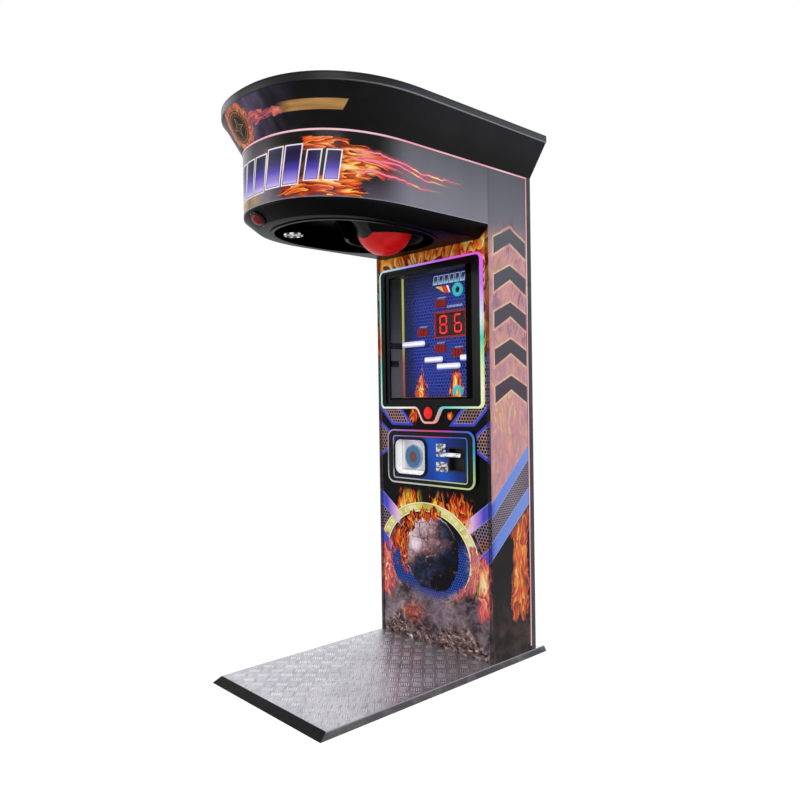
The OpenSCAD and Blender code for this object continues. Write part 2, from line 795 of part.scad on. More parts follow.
module coin_entry() color("gainsboro") {
    s = entry_s / 2;
    out = 8;
    difference() {
        union() {
            facing(floor_y - out, floor_y)
                polygon(rounded(box_points(entry_x - s, entry_x + s, entry_z - s, entry_z + s), [5, 5, 5, 5]));
            rod_y(entry_x, entry_z + 8, 15, floor_y - out - 3, floor_y - out);
        }
        block(entry_x - slot_w / 2, entry_x + slot_w / 2, floor_y - out - 5, floor_y + cut,
            entry_z - 6, entry_z + 20);
        rod_y(lever_x, lever_z, 3 + run, floor_y - out - cut, floor_y + cut);
    }
    difference() {
        facing(coin_y, floor_y)
            polygon(rounded(box_points(lock_x - 35, lock_x + 35, lock_z - 21, lock_z + 21), [4, 4, 4, 4], 4));
        rod_y(lock_x, lock_z, lock_r + run, coin_y - cut, floor_y + cut);
    }
}
// Lever that frees a stuck coin, on a pin in the entry plate
module coin_lever() color("gainsboro") {
    y0 = floor_y - 17;
    y1 = floor_y - 8 - gap;
    rod_y(lever_x, lever_z, 3, y1, floor_y - 1);
    facing(y0 + 2, y1)
        polygon(rounded([[lever_x - 9, lever_z - 8], [lever_x + 108, lever_z - 8], [lever_x + 112, lever_z + 9],
            [lever_x - 9, lever_z + 9]], [7, 3, 3, 7], 4));
}
module coin_mech() color("black") {
    lip = 5;
    pocket = 24;
    difference() {
        union() {
            block(mech_x0, mech_x1, floor_y - 2, coin_back, mech_z0, mech_z1);
            block(entry_x - 20, mech_x1 - 4, coin_back, coin_back + 62, mech_z0 + 26, mech_z1 + 24);
            block(mech_x0 + 2, mech_x1 - 2, coin_back, coin_back + 20, mech_z0 + 2, mech_z0 + 26);
        }
        block(mech_x0 + lip, mech_x1 - lip, floor_y - 3, floor_y + pocket, mech_z0 + lip, mech_z1 - lip);
    }
}
module coin_lock() color("gainsboro")
    translate([lock_x, 0, lock_z]) cam_lock(coin_y, -lock_face, y_inner + 0.5, lock_r, cam_reach, 180);
// Y-z outline of the chute: straight down, then back over the cash box
function chute_path(t, over) = let (y0 = y_inner + t, y1 = y_inner + chute_wide - t,
    top = mech_z0 - chute_drop + over, bend = plat_h + cash_h + slide_h, low = plat_h + cash_h + chute_clear - over)
    [[y0, top], [y0, bend], [y0 + slide_run, low], [y1 + slide_run, low], [y1, bend], [y1, top]];
module coin_chute() color("silver")
    difference() {
        sideways(chute_x - chute_hw, chute_x + chute_hw) polygon(chute_path(0, 0));
        sideways(chute_x - chute_hw + bin_t, chute_x + chute_hw - bin_t) polygon(chute_path(bin_t, cut));
    }
module cash_box() color("lightgray") {
    x1 = chute_x + chute_hw + cash_side;
    x0 = x1 - cash_w;
    y0 = y_inner + tube_s + cash_front;
    y1 = y_post - tube_s - cash_rear;
    difference() {
        block(x0, x1, y0, y1, plat_h, plat_h + cash_h);
        block(x0 + bin_t, x1 - bin_t, y0 + bin_t, y1 - bin_t, plat_h + bin_t, plat_h + cash_h + cut);
    }
}

// Canopy
module canopy_band() color("slategray")
    difference() {
        slab(z_band, z_crown) polygon(plan(0, 0, y_face));
        slab(z_band - cut, z_crown + cut) polygon(plan(-band_t, -band_t, y_face + cut));
        slab(z_led, z_crown + cut)
            difference() {
                polygon(plan(cut, cut, y_face + cut));
                polygon(plan(-led_d, -led_d, y_face + 2 * cut));
            }
    }
module canopy_led() color("pink")
    slab(z_led, z_crown)
        difference() {
            polygon(plan(led_out, led_out, y_post));
            polygon(plan(-led_d, -led_d, y_post + cut));
        }
module crown_shell() color([0.12, 0.12, 0.14]) {
    s = flare_side - rim_step;
    f = flare_front - rim_step;
    t = shell_t;
    loft([at_z(plan(0, 0, y_back), z_crown), at_z(plan(s, f, y_back), z_rim),
        at_z(plan(s - t, f - t, y_back - t), z_rim), at_z(plan(-t, -t, y_back - t), z_crown + t),
        at_z(plan(-band_t, -band_t, y_back - band_t), z_crown + t),
        at_z(plan(-band_t, -band_t, y_back - band_t), z_crown)], closed = true);
}
module crown_rim() color([0.2, 0.2, 0.22]) {
    seam = y_straight + rim_seam;
    difference() {
        union() {
            slab(z_rim, z_top)
                difference() {
                    polygon(plan(flare_side, flare_front, y_back));
                    polygon(plan(flare_side - rim_t, flare_front - rim_t, y_back - rim_t));
                }
            slab(z_top - 12, z_top - 6)
                difference() {
                    polygon(plan(flare_side - rim_t, flare_front - rim_t, y_back - rim_t));
                    polygon(plan(flare_side - rim_t - 14, flare_front - rim_t - 14, y_back - rim_t - 14));
                }
        }
        block(-2 * half_w, 2 * half_w, seam, seam + 0.6, z_rim - cut, z_top + cut);
    }
}
module top_cover() color("black")
    slab(z_top - 6, z_top - 2)
        polygon(plan(flare_side - rim_t - gap, flare_front - rim_t - gap, y_back - rim_t - gap));
module lower_shell() color([0.05, 0.05, 0.06]) {
    c = chamfer_run;
    t = shell_t;
    z1 = z_band - shell_lip;
    difference() {
        union() {
            loft([at_z(plan(-c, -c, y_face), canopy_z), at_z(plan(0, 0, y_face), z1),
                at_z(plan(0, 0, y_face), z_band)]);
            dome_place() translate([0, 0, -8]) cylinder(r = dome_r + 14, h = 11);
        }
        loft([at_z(plan(-c - t / 2, -c - t / 2, y_face - t), canopy_z + t),
            at_z(plan(-t, -t, y_face - t), z1 + t / 2), at_z(plan(-t, -t, y_face - t), z_band + cut)]);
        slab(canopy_z - cut, canopy_z + t + cut) polygon(oval(tray_t + gap));
        dome_place() translate([0, 0, -30]) cylinder(r = dome_r + 4 + gap, h = 60);
        both_sides()
            block(in_w - gap, half_w + cut, y_face - trim_t - gap, y_face + cut, canopy_z - cut, z_band + cut);
    }
}
// Moves to the button's seat: outwards from the chamfer is +Z there
module dome_place() {
    translate([dome_x, y_nose + chamfer_run * dome_down, z_band - shell_lip - chamfer_drop * dome_down])
        rotate([180 - chamfer_tilt, 0, 0]) children();
}
// Oval tray with a lip, its roof open over the ball and the arm
module tray() color([0.06, 0.06, 0.07])
    difference() {
        union() {
            slab(canopy_z - 1, roof_z + tray_t) polygon(oval(tray_t));
            slab(canopy_z - tray_lip_t, canopy_z) polygon(oval(tray_lip));
        }
        slab(canopy_z - tray_lip_t - cut, roof_z) polygon(oval(0));
        cup_space(tray_t + gap, roof_z - cut, roof_z + tray_t + cut);
    }
// Room for the ball and its arm, grown all round
module cup_space(grow, z0, z1) {
    rod_z(0, ball_y, collar_r + grow, z0, z1);
    block(-slot_hw - grow, slot_hw + grow, tunnel_y - grow, ball_y, z0, z1);
}
// Cup over the caught ball, with the flared collar that hangs from it under the tray's roof
module ball_cup() color([0.06, 0.06, 0.07]) {
    t = tray_t;
    r = collar_r;
    z = canopy_z;
    // The collar is keyed into the middle of the cup's wall
    key0 = t * 0.2;
    key1 = t * 0.8;
    difference() {
        cup_space(t, roof_z, pocket_top + t);
        cup_space(0, roof_z - cut, pocket_top);
        rod_x(axle_y, axle_z, axle_r + 2, -slot_hw - 2 * t, slot_hw + 2 * t);
        rod_z(0, magnet_y, magnet_stem + 1, pocket_top - cut, pocket_top + t + cut);
    }
    difference() {
        translate([0, ball_y, 0])
            rotate_extrude($fn = 96)
                polygon([[r, roof_z], [r, z + 14], [r + 3, z + 9.5], [r + 9, z + 8], [r + 15, z + 10],
                    [r + 20, z + 16], [r + 28, z + 36], [r + 40, z + 56], [r + 60, roof_z], [r + key1, roof_z],
                    [r + key1, roof_z + t], [r + key0, roof_z + t], [r + key0, roof_z]]);
        block(-slot_hw, slot_hw, tunnel_y, ball_y, z - cut, roof_z + t + cut);
        difference() {
            slab(z - cut, roof_z + cut) square(4 * tray_hl, center = true);
            slab(z - 2 * cut, roof_z + 2 * cut) polygon(oval(-gap));
        }
    }
}
module canopy_frame() color("dimgray") {
    wall = 3;
    x1 = rail_x + rail_w;
    both_sides() {
        tube_y(rail_x, x1, rail_z, rail_z + rail_h, rail_y, y_post, wall);
        for (y = [y_straight + 10, y_face - 110])
            block(x1, half_w - band_t, y, y + rail_w, rail_z, rail_z + 30);
    }
    block(-rail_x, rail_x, rail_y, rail_y + rail_w, rail_z, rail_z + rail_h);
    for (y = [magnet_y - rail_w / 2, y_face + 60])
        block(-x1, x1, y, y + rail_w, bar_top, bar_top + rail_w);
}
module downlight() color("gainsboro")
    translate([-60, axle_y - 100, 0])
        rotate_extrude()
            polygon([[0, canopy_z - 17], [30, canopy_z - 17], [31, canopy_z - 19], [34, canopy_z - 19.5],
                [37, canopy_z - 17], [37, canopy_z - 13], [34, canopy_z - 9], [6, canopy_z - 6], [5, canopy_z - 4],
                [5, roof_z - 6], [14, roof_z - 3], [15, roof_z], [0, roof_z]]);
module canopy_button_bezel() color([0.08, 0.08, 0.09])
    dome_place()
        difference() {
            union() {
                translate([0, 0, 3]) cylinder(r1 = dome_r + 10, r2 = dome_r + 6, h = 4);
                translate([0, 0, -19]) cylinder(r = dome_r + 4, h = 22.5);
            }
            translate([0, 0, -17]) cylinder(r = dome_r + run, h = 60);
        }
module canopy_button() color("red")
    dome_place()
        intersection() {
            translate([0, 0, -12]) cylinder(r = dome_r, h = 60);
            translate([0, 0, -10]) sphere(30, $fn = 96);
        }

// Ball, arm and what catches and reads it
module bearing_blocks() color("darkslategray")
    both_sides()
        difference() {
            union() {
                rod_x(axle_y, axle_z, block_r, rail_x, rail_x + rail_w);
                block(rail_x, rail_x + rail_w, axle_y - web_hw, axle_y + web_hw, axle_z, rail_z);
                block(rail_x, rail_x + rail_w, axle_y - foot_hw, axle_y + foot_hw, rail_z - foot_t, rail_z);
            }
            rod_x(axle_y, axle_z, axle_r + run, rail_x - cut, rail_x + rail_w + cut);
        }
module axle() color("silver")
    rod_x(axle_y, axle_z, axle_r, -rail_x - rail_w - 6, rail_x + rail_w + 6);
// Moves to the arm's own frame, where the ball hangs along -Z
module on_arm() translate([0, axle_y, axle_z]) rotate([caught_deg, 0, 0]) children();
module swing_arm() color("darkgray")
    difference() {
        union() {
            rod_x(axle_y, axle_z, hub_r, -hub_hw, hub_hw);
            on_arm() {
                translate([0, 0, -neck_s]) cylinder(r = arm_r, h = neck_s);
                translate([0, 0, -neck_s]) cylinder(r = flange_r, h = flange_t);
                translate([0, 0, -neck_s + flange_t]) cylinder(r1 = cone_r, r2 = arm_r, h = cone_h);
            }
            block(-stub_hw, stub_hw, magnet_y - stub_hw, magnet_y + stub_hw, axle_z - stub_hw, magnet_z);
        }
        rod_x(axle_y, axle_z, axle_r, -hub_hw - cut, hub_hw + cut);
    }
module punch_ball() color("red")
    on_arm()
        translate([0, 0, -arm_len])
            rotate_extrude($fn = 96)
                polygon(concat([for (a = [-90:5:40]) [ball_r * cos(a), ball_r * sin(a)]],
                    [[ball_r * 0.66, ball_r * 0.80], [ball_r * 0.53, ball_r * 0.95], [ball_r * 0.41, ball_r * 1.1],
                    [ball_r * 0.32, ball_r * 1.24], [neck_r, arm_len - neck_s - flange_t],
                    [neck_r, arm_len - neck_s],
                    [0, arm_len - neck_s]]));
module armature() color("silver")
    block(-magnet_r, magnet_r, magnet_y - magnet_r, magnet_y + magnet_r, magnet_z, magnet_z + plate_t);
module holding_magnet() color("gray") {
    z0 = magnet_z + plate_t + gap;
    rod_z(0, magnet_y, magnet_r, z0, z0 + magnet_h);
    rod_z(0, magnet_y, magnet_stem, z0 + magnet_h, bar_top);
}
module bump_stop() color("black") {
    y = axle_y + 55;
    low = axle_z - (y - 12 - axle_y) / tan(caught_deg) + arm_r / sin(caught_deg) + gap;
    rod_z(0, y, 12, low, pocket_top);
}
module encoder_vane() color("silver") {
    slots = 16;
    difference() {
        rod_x(axle_y, axle_z, vane_r, vane_x, vane_x + vane_t);
        for (i = [0:slots - 1])
            translate([0, axle_y, axle_z]) rotate([i * 360 / slots, 0, 0])
                block(vane_x - cut, vane_x + vane_t + cut, -1.5, 1.5, vane_r - 13, vane_r - 3);
        rod_x(axle_y, axle_z, axle_r, vane_x - cut, vane_x + vane_t + cut);
    }
    difference() {
        rod_x(axle_y, axle_z, vane_hub_r, vane_x + vane_t, vane_x + vane_t + vane_hub);
        rod_x(axle_y, axle_z, axle_r, vane_x, vane_x + vane_t + vane_hub + cut);
    }
}
module optical_sensor() color("black") {
    z0 = axle_z + vane_r - 15;
    mid = vane_x + vane_t / 2;
    difference() {
        block(mid - eye_hw, mid + eye_hw, axle_y - eye_hw, axle_y + eye_hw, z0, z0 + eye_h);
        block(mid - eye_gap, mid + eye_gap, axle_y - eye_hw - cut, axle_y + eye_hw + cut, z0 - cut, z0 + eye_h - 7);
    }
    block(mid + eye_hw, rail_x, axle_y - eye_hw, axle_y + eye_hw, rail_z + 6, z0 + eye_h);
}

// Electrics
inlet_x = 190;
inlet_z = plat_h + 90;
inlet_w = 50;
inlet_h = 64;
rocker_z = inlet_z + 17;
module power_inlet() color("black") {
    y1 = y_back;
    cav_w = 24;
    cav_h = 16;
    zc = inlet_z - 14;
    difference() {
        union() {
            block(inlet_x - inlet_w / 2, inlet_x + inlet_w / 2, y1 - 24, y1,
                inlet_z - inlet_h / 2, inlet_z + inlet_h / 2);
            block(inlet_x - inlet_w / 2 - 5, inlet_x + inlet_w / 2 + 5, y1, y1 + 3,
                inlet_z - inlet_h / 2 - 5, inlet_z + inlet_h / 2 + 5);
        }
        block(inlet_x - cav_w / 2, inlet_x + cav_w / 2, y1 - 16, y1 + 4, zc - cav_h / 2, zc + cav_h / 2);
        block(inlet_x - 14, inlet_x + 14, y1 - 14, y1 + 4, rocker_z - 9, rocker_z + 9);
        rod_x(y1 - 1, rocker_z, 1.5 + run, inlet_x - 18, inlet_x + 18);
    }
    for (x = [-7, 0, 7])
        translate([inlet_x + x, 0, zc + (x == 0 ? 3 : 0)]) block(-1, 1, y1 - 16, y1 - 5, -2, 2);
}
module power_switch() color("crimson") {
    y1 = y_back;
    rod_x(y1 - 1, rocker_z, 1.5, inlet_x - 17, inlet_x + 17);
    sideways(inlet_x - 13.5, inlet_x + 13.5)
        polygon([[y1 - 7, rocker_z - 2], [y1 + 2, rocker_z - 7.5], [y1 + 6.5, rocker_z - 7], [y1 + 4, rocker_z],
            [y1 + 5, rocker_z + 7.5], [y1 + 1, rocker_z + 7.5], [y1 - 7, rocker_z + 2]]);
}
supply_t = 50;
supply_d = 110;
supply_h = 215;
supply_up = 320;
vent_pitch = 14;
vent_h = 6;
module power_supply() color("silver") {
    x0 = -in_w;
    y0 = y_inner + tube_s + 20;
    z0 = plat_h + supply_up;
    edge = 12;
    difference() {
        block(x0, x0 + supply_t, y0, y0 + supply_d, z0, z0 + supply_h);
        for (i = [0:9])
            block(x0 + supply_t - 4, x0 + supply_t + cut, y0 + edge, y0 + supply_d - edge,
                z0 + 40 + i * vent_pitch, z0 + 40 + i * vent_pitch + vent_h);
    }
}
board_hw = 90;
board_h = 120;
board_t = 1.6;
board_gap = 8;
chip_t = 4;
plug_t = 11;
board_up = 190;
module main_board() color("seagreen") {
    back = box_y1 + board_gap;
    top = back + board_t;
    z0 = disp_z + board_up;
    w = board_hw;
    h = board_h;
    block(-w, w, back, top, z0, z0 + h);
    for (x = [-w + board_gap, w - board_gap], z = [z0 + board_gap, z0 + h - board_gap])
        rod_y(x, z, post_r, box_y1, back);
    // Processor, two rows of plugs and a relay, as shares of the board
    block(-w / 3, w / 3, top, top + chip_t, z0 + h / 3, z0 + h * 0.63);
    block(-w * 0.93, -w * 0.67, top, top + plug_t, z0 + h / 4, z0 + h * 0.75);
    block(w * 0.67, w * 0.89, top, top + plug_t, z0 + h / 6, z0 + h * 0.83);
    block(-w * 0.22, w * 0.22, top, top + plug_t, z0 + h * 0.78, z0 + h * 0.93);
}

platform_frame();
floor_pads();
tread_plate();
ramp_front();
ramp_sides();
column_frame();
side_panel_left();
side_panel_right();
front_panel();
edge_trims();
back_panels();
back_door();
back_lock();
column_leds();
display_bezel();
display_led();
display_glass();
display_box();
score_panel();
score_displays();
panel_lamps();
light_tubes();
start_button();
start_bezel();
coin_door();
coin_leds();
reader_bezel();
reader_dish();
reader_disc();
coin_entry();
coin_lever();
coin_mech();
coin_lock();
coin_chute();
cash_box();
canopy_band();
canopy_led();
crown_shell();
crown_rim();
top_cover();
lower_shell();
tray();
ball_cup();
canopy_frame();
downlight();
canopy_button();
canopy_button_bezel();
bearing_blocks();
axle();
swing_arm();
punch_ball();
armature();
encoder_vane();
optical_sensor();
holding_magnet();
bump_stop();
power_inlet();
power_switch();
power_supply();
main_board();
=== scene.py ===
"""Looks of a boxing arcade machine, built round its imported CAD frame.

The frame's axes are kept: +X is to the right of a player who faces the machine, +Y runs to its back
and +Z up. The classes hold their sizes in millimetres, and meshes are put in place in metres.
"""

import json
import logging
import math
from dataclasses import dataclass, field
from enum import Enum
from typing import Callable, Dict, Optional, Sequence, Tuple, Union

import bmesh
import bpy
import numpy as np
from mathutils import Matrix, Vector

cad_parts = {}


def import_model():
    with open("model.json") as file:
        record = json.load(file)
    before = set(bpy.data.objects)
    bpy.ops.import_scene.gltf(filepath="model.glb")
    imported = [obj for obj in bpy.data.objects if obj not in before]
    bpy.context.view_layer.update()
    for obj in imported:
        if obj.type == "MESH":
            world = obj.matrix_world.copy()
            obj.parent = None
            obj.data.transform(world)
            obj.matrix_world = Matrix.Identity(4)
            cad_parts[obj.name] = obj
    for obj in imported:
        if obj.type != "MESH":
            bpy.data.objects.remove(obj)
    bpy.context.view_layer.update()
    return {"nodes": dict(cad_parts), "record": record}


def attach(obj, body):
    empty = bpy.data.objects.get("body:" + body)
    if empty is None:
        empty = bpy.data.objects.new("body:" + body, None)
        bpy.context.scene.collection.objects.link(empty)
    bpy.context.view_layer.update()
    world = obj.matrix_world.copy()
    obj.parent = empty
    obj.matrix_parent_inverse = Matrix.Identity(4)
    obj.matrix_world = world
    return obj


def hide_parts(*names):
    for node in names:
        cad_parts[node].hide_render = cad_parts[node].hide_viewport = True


LOG = logging.getLogger("boxing_machine")
MM = 0.001

Colour = Tuple[float, float, float, float]
Point2 = Tuple[float, float]
Point3 = Tuple[float, float, float]
Stops = Sequence[Tuple[float, str]]


class Body(Enum):
    """Moving groups that the pieces made here ride on."""

    CABINET = "cabinet"
    BALL_ARM = "ball_arm"


@dataclass(frozen=True)
class Sizes:
    """Main sizes of the machine, in millimetres, the same as the CAD frame's."""

    plate_top: float = 22.0
    plate_half: float = 342.0
    y_plate: float = -553.5
    y_straight: float = -139.5
    y_face: float = 293.5
    y_post: float = 546.5
    y_back: float = 573.5
    y_rear: float = 631.5
    half_w: float = 342.0
    nose_len: float = 422.0
    nose_power: float = 2.26
    under_z: float = 1755.0
    z_band: float = 1806.0
    z_led: float = 2031.0
    z_crown: float = 2041.0
    z_rim: float = 2170.0
    z_top: float = 2200.0
    flare_side: float = 88.0
    flare_front: float = 70.0
    rim_step: float = 4.0
    tray_hw: float = 250.0
    tray_hl: float = 338.0
    tray_y: float = -109.5
    disp_z: float = 1063.0
    disp_top: float = 1702.0
    score_y: float = 376.5
    coin_mid: float = 847.0


S = Sizes()


# Colours and numbers in shaders


def linear(code: str) -> Colour:
    """Turns a screen colour into the linear one that shaders take.

    Args:
        code: six hexadecimal digits after a hash sign.

    Returns:
        Red, green and blue from 0 to 1, and an alpha of 1.
    """
    parts = [int(code[i : i + 2], 16) / 255 for i in (1, 3, 5)]
    return tuple(c / 12.92 if c <= 0.04045 else ((c + 0.055) / 1.055) ** 2.4 for c in parts) + (1.0,)


class Val:
    """An output socket that can be added to, multiplied and so on, each time with a Math node."""

    def __init__(self, graph: "Graph", socket: bpy.types.NodeSocket) -> None:
        """Keeps the graph and the socket."""
        self.graph = graph
        self.socket = socket

    def __add__(self, other: "Number") -> "Val":
        """Sum."""
        return self.graph.math("ADD", self, other)

    def __sub__(self, other: "Number") -> "Val":
        """Difference."""
        return self.graph.math("SUBTRACT", self, other)

    def __rsub__(self, other: "Number") -> "Val":
        """Difference from a plain number."""
        return self.graph.math("SUBTRACT", other, self)

    def __mul__(self, other: "Number") -> "Val":
        """Product."""
        return self.graph.math("MULTIPLY", self, other)

    def __truediv__(self, other: "Number") -> "Val":
        """Quotient."""
        return self.graph.math("DIVIDE", self, other)

    def __rtruediv__(self, other: "Number") -> "Val":
        """Quotient of a plain number."""
        return self.graph.math("DIVIDE", other, self)

    __radd__ = __add__
    __rmul__ = __mul__

    def clamp(self) -> "Val":
        """The number kept from 0 to 1."""
        return self.graph.math("ADD", self, 0.0, clamp=True)

    def least(self, other: "Number") -> "Val":
        """The smaller of two numbers."""
        return self.graph.math("MINIMUM", self, other)

    def most(self, other: "Number") -> "Val":
        """The larger of two numbers."""
        return self.graph.math("MAXIMUM", self, other)

    def absolute(self) -> "Val":
        """The number without its sign."""
        return self.graph.math("ABSOLUTE", self)

    def near(self, middle: float, low: float, high: float) -> "Val":
        """A step over the distance from the middle: with low above high, a soft band round it."""
        return (self - middle).absolute().step(low, high)

    def step(self, low: float, high: float) -> "Val":
        """A smooth rise from 0 at low to 1 at high, or a fall where low is above high."""
        return self.graph.step(self, low, high)


Number = Union[Val, float, int]


class Graph:
    """Adds nodes to one tree and joins them. Its methods give back outputs as Val."""

    def __init__(self, tree: bpy.types.NodeTree) -> None:
        """Keeps the tree."""
        self.tree = tree

    def node(self, kind: str, **settings: object) -> bpy.types.Node:
        """Adds a node.

        Args:
            kind: the node's class name.
            settings: its properties.

        Returns:
            The new node.
        """
        made = self.tree.nodes.new(kind)
        for name, value in settings.items():
            setattr(made, name, value)
        return made

    def feed(self, socket: bpy.types.NodeSocket, value: object) -> None:
        """Joins an output to a socket, or sets its plain value.

        Args:
            socket: the input.
            value: a Val, a number, a colour's code, or a colour or vector as a tuple.
        """
        if isinstance(value, Val):
            self.tree.links.new(value.socket, socket)
        else:
            socket.default_value = linear(value) if isinstance(value, str) else value

    def set(self, node: bpy.types.Node, **values: object) -> None:
        """Feeds a node's inputs by name, with _ for a space."""
        for name, value in values.items():
            self.feed(node.inputs[name.replace("_", " ")], value)

    def math(self, operation: str, *values: Number, clamp: bool = False) -> Val:
        """Adds a Math node with the given inputs."""
        made = self.node("ShaderNodeMath", operation=operation, use_clamp=clamp)
        for socket, value in zip(made.inputs, values):
            self.feed(socket, value)
        return Val(self, made.outputs[0])

    def vector(self, operation: str, *values: object, output: str = "Vector") -> Val:
        """Adds a Vector Math node; numbers go to its Scale."""
        made = self.node("ShaderNodeVectorMath", operation=operation)
        for socket, value in zip([s for s in made.inputs if s.enabled], values):
            self.feed(socket, value)
        return Val(self, made.outputs[output])

    def join(self, x: Number, y: Number, z: Number = 0.0) -> Val:
        """Makes a vector of three numbers."""
        made = self.node("ShaderNodeCombineXYZ")
        for socket, value in zip(made.inputs, (x, y, z)):
            self.feed(socket, value)
        return Val(self, made.outputs[0])

    def split(self, value: Val) -> Tuple[Val, Val, Val]:
        """Gives the three numbers of a vector."""
        made = self.node("ShaderNodeSeparateXYZ")
        self.feed(made.inputs[0], value)
        return tuple(Val(self, made.outputs[i]) for i in range(3))

    def step(self, value: Val, low: float, high: float) -> Val:
        """A smooth rise from 0 at low to 1 at high."""
        made = self.node("ShaderNodeMapRange", interpolation_type="SMOOTHSTEP")
        for socket, number in zip(made.inputs, (value, low, high, 0.0, 1.0)):
            self.feed(socket, number)
        return Val(self, made.outputs[0])

    def noise(self, place: Val, scale: float, detail: float = 3.0, rough: float = 0.5, bend: float = 0.0,
              colour: bool = False, stretch: Optional[Point3] = None) -> Val:
        """Adds a Noise Texture.

        Args:
            place: where it is read.
            scale: bumps in a unit of place.
            detail: how many finer layers there are.
            rough: how strong the finer layers are.
            bend: distortion.
            colour: gives the colour output in place of the number.
            stretch: what the place is multiplied by along each axis.

        Returns:
            The texture's output.
        """
        if stretch:
            place = self.vector("MULTIPLY", place, stretch)
        made = self.node("ShaderNodeTexNoise")
        self.set(made, Vector=place, Scale=scale, Detail=detail, Roughness=rough, Distortion=bend)
        return Val(self, made.outputs["Color" if colour else "Fac"])

    def shake(self, place: Val, source: Val, reach: Point3, scale: float, detail: float, rough: float) -> Val:
        """Moves a place by a noise read at the source.

        Args:
            place: the place to move.
            source: where the noise is read.
            reach: how far it moves along each axis, half to each side.
            scale: bumps in a unit of the source.
            detail: how many finer layers there are.
            rough: how strong the finer layers are.

        Returns:
            The moved place.
        """
        cloud = self.noise(source, scale, detail, rough, colour=True)
        shift = self.vector("SUBTRACT", cloud, (0.5, 0.5, 0.5))
        return self.vector("ADD", place, self.vector("MULTIPLY", shift, reach))

    def cells(self, place: Val, scale: float, feature: str = "F1", output: str = "Distance") -> Val:
        """Adds a Voronoi Texture and gives one of its outputs."""
        made = self.node("ShaderNodeTexVoronoi", feature=feature)
        self.set(made, Vector=place, Scale=scale)
        return Val(self, made.outputs[output])

    def mix(self, share: Number, first: object, second: object) -> Val:
        """Mixes two colours.

        Args:
            share: how much of the second there is, from 0 to 1.
            first: a colour as a Val, a tuple or a hexadecimal code.
            second: the same.

        Returns:
            The mixed colour.
        """
        made = self.node("ShaderNodeMix", data_type="RGBA", clamp_factor=True)
        for slot, value in ((0, share), (6, first), (7, second)):
            self.feed(made.inputs[slot], value)
        return Val(self, made.outputs[2])

    def ramp(self, value: Val, stops: Stops) -> Val:
        """Turns a number into a colour along a row of stops.

        Args:
            value: the number, from 0 to 1.
            stops: pairs of a position and a hexadecimal colour, in rising order.

        Returns:
            The colour.
        """
        made = self.node("ShaderNodeValToRGB")
        band = made.color_ramp
        while len(band.elements) < len(stops):
            band.elements.new(1.0)
        for element, (position, code) in zip(band.elements, stops):
            element.position = position
            element.color = linear(code)
        self.feed(made.inputs[0], value)
        return Val(self, made.outputs[0])

    def grey(self, colour: Val) -> Val:
        """Gives a colour's brightness."""
        made = self.node("ShaderNodeRGBToBW")
        self.feed(made.inputs[0], colour)
        return Val(self, made.outputs[0])

    def object_place(self) -> Val:
        """The place on the piece in millimetres, from Object coordinates."""
        place = Val(self, self.node("ShaderNodeTexCoord").outputs["Object"])
        return self.vector("MULTIPLY", place, (1000.0, 1000.0, 1000.0))

    def map_place(self, name: str) -> Tuple[Val, Val]:
        """The two numbers of the piece's own UV map, in millimetres."""
        made = self.node("ShaderNodeUVMap", uv_map=name)
        u, v, _ = self.split(Val(self, made.outputs[0]))
        return u * 1000.0, v * 1000.0

    def use(self, group: bpy.types.NodeTree, **values: object) -> Dict[str, Val]:
        """Places a node group.

        Args:
            group: the group's tree.
            values: its inputs by name, with _ for a space.

        Returns:
            Its outputs by name.
        """
        made = self.node("ShaderNodeGroup")
        made.node_tree = group
        self.set(made, **values)
        return {s.name: Val(self, s) for s in made.outputs}

    def bump(self, height: Val, strength: float, distance: float) -> Val:
        """Adds a Bump node and gives its normal."""
        made = self.node("ShaderNodeBump")
        self.set(made, Strength=strength, Distance=distance, Height=height)
        return Val(self, made.outputs[0])


def fresh_graph(owner: Union[bpy.types.Material, bpy.types.World]) -> Graph:
    """Gives the emptied node tree of a material or a world."""
    owner.use_nodes = True
    owner.node_tree.nodes.clear()
    return Graph(owner.node_tree)


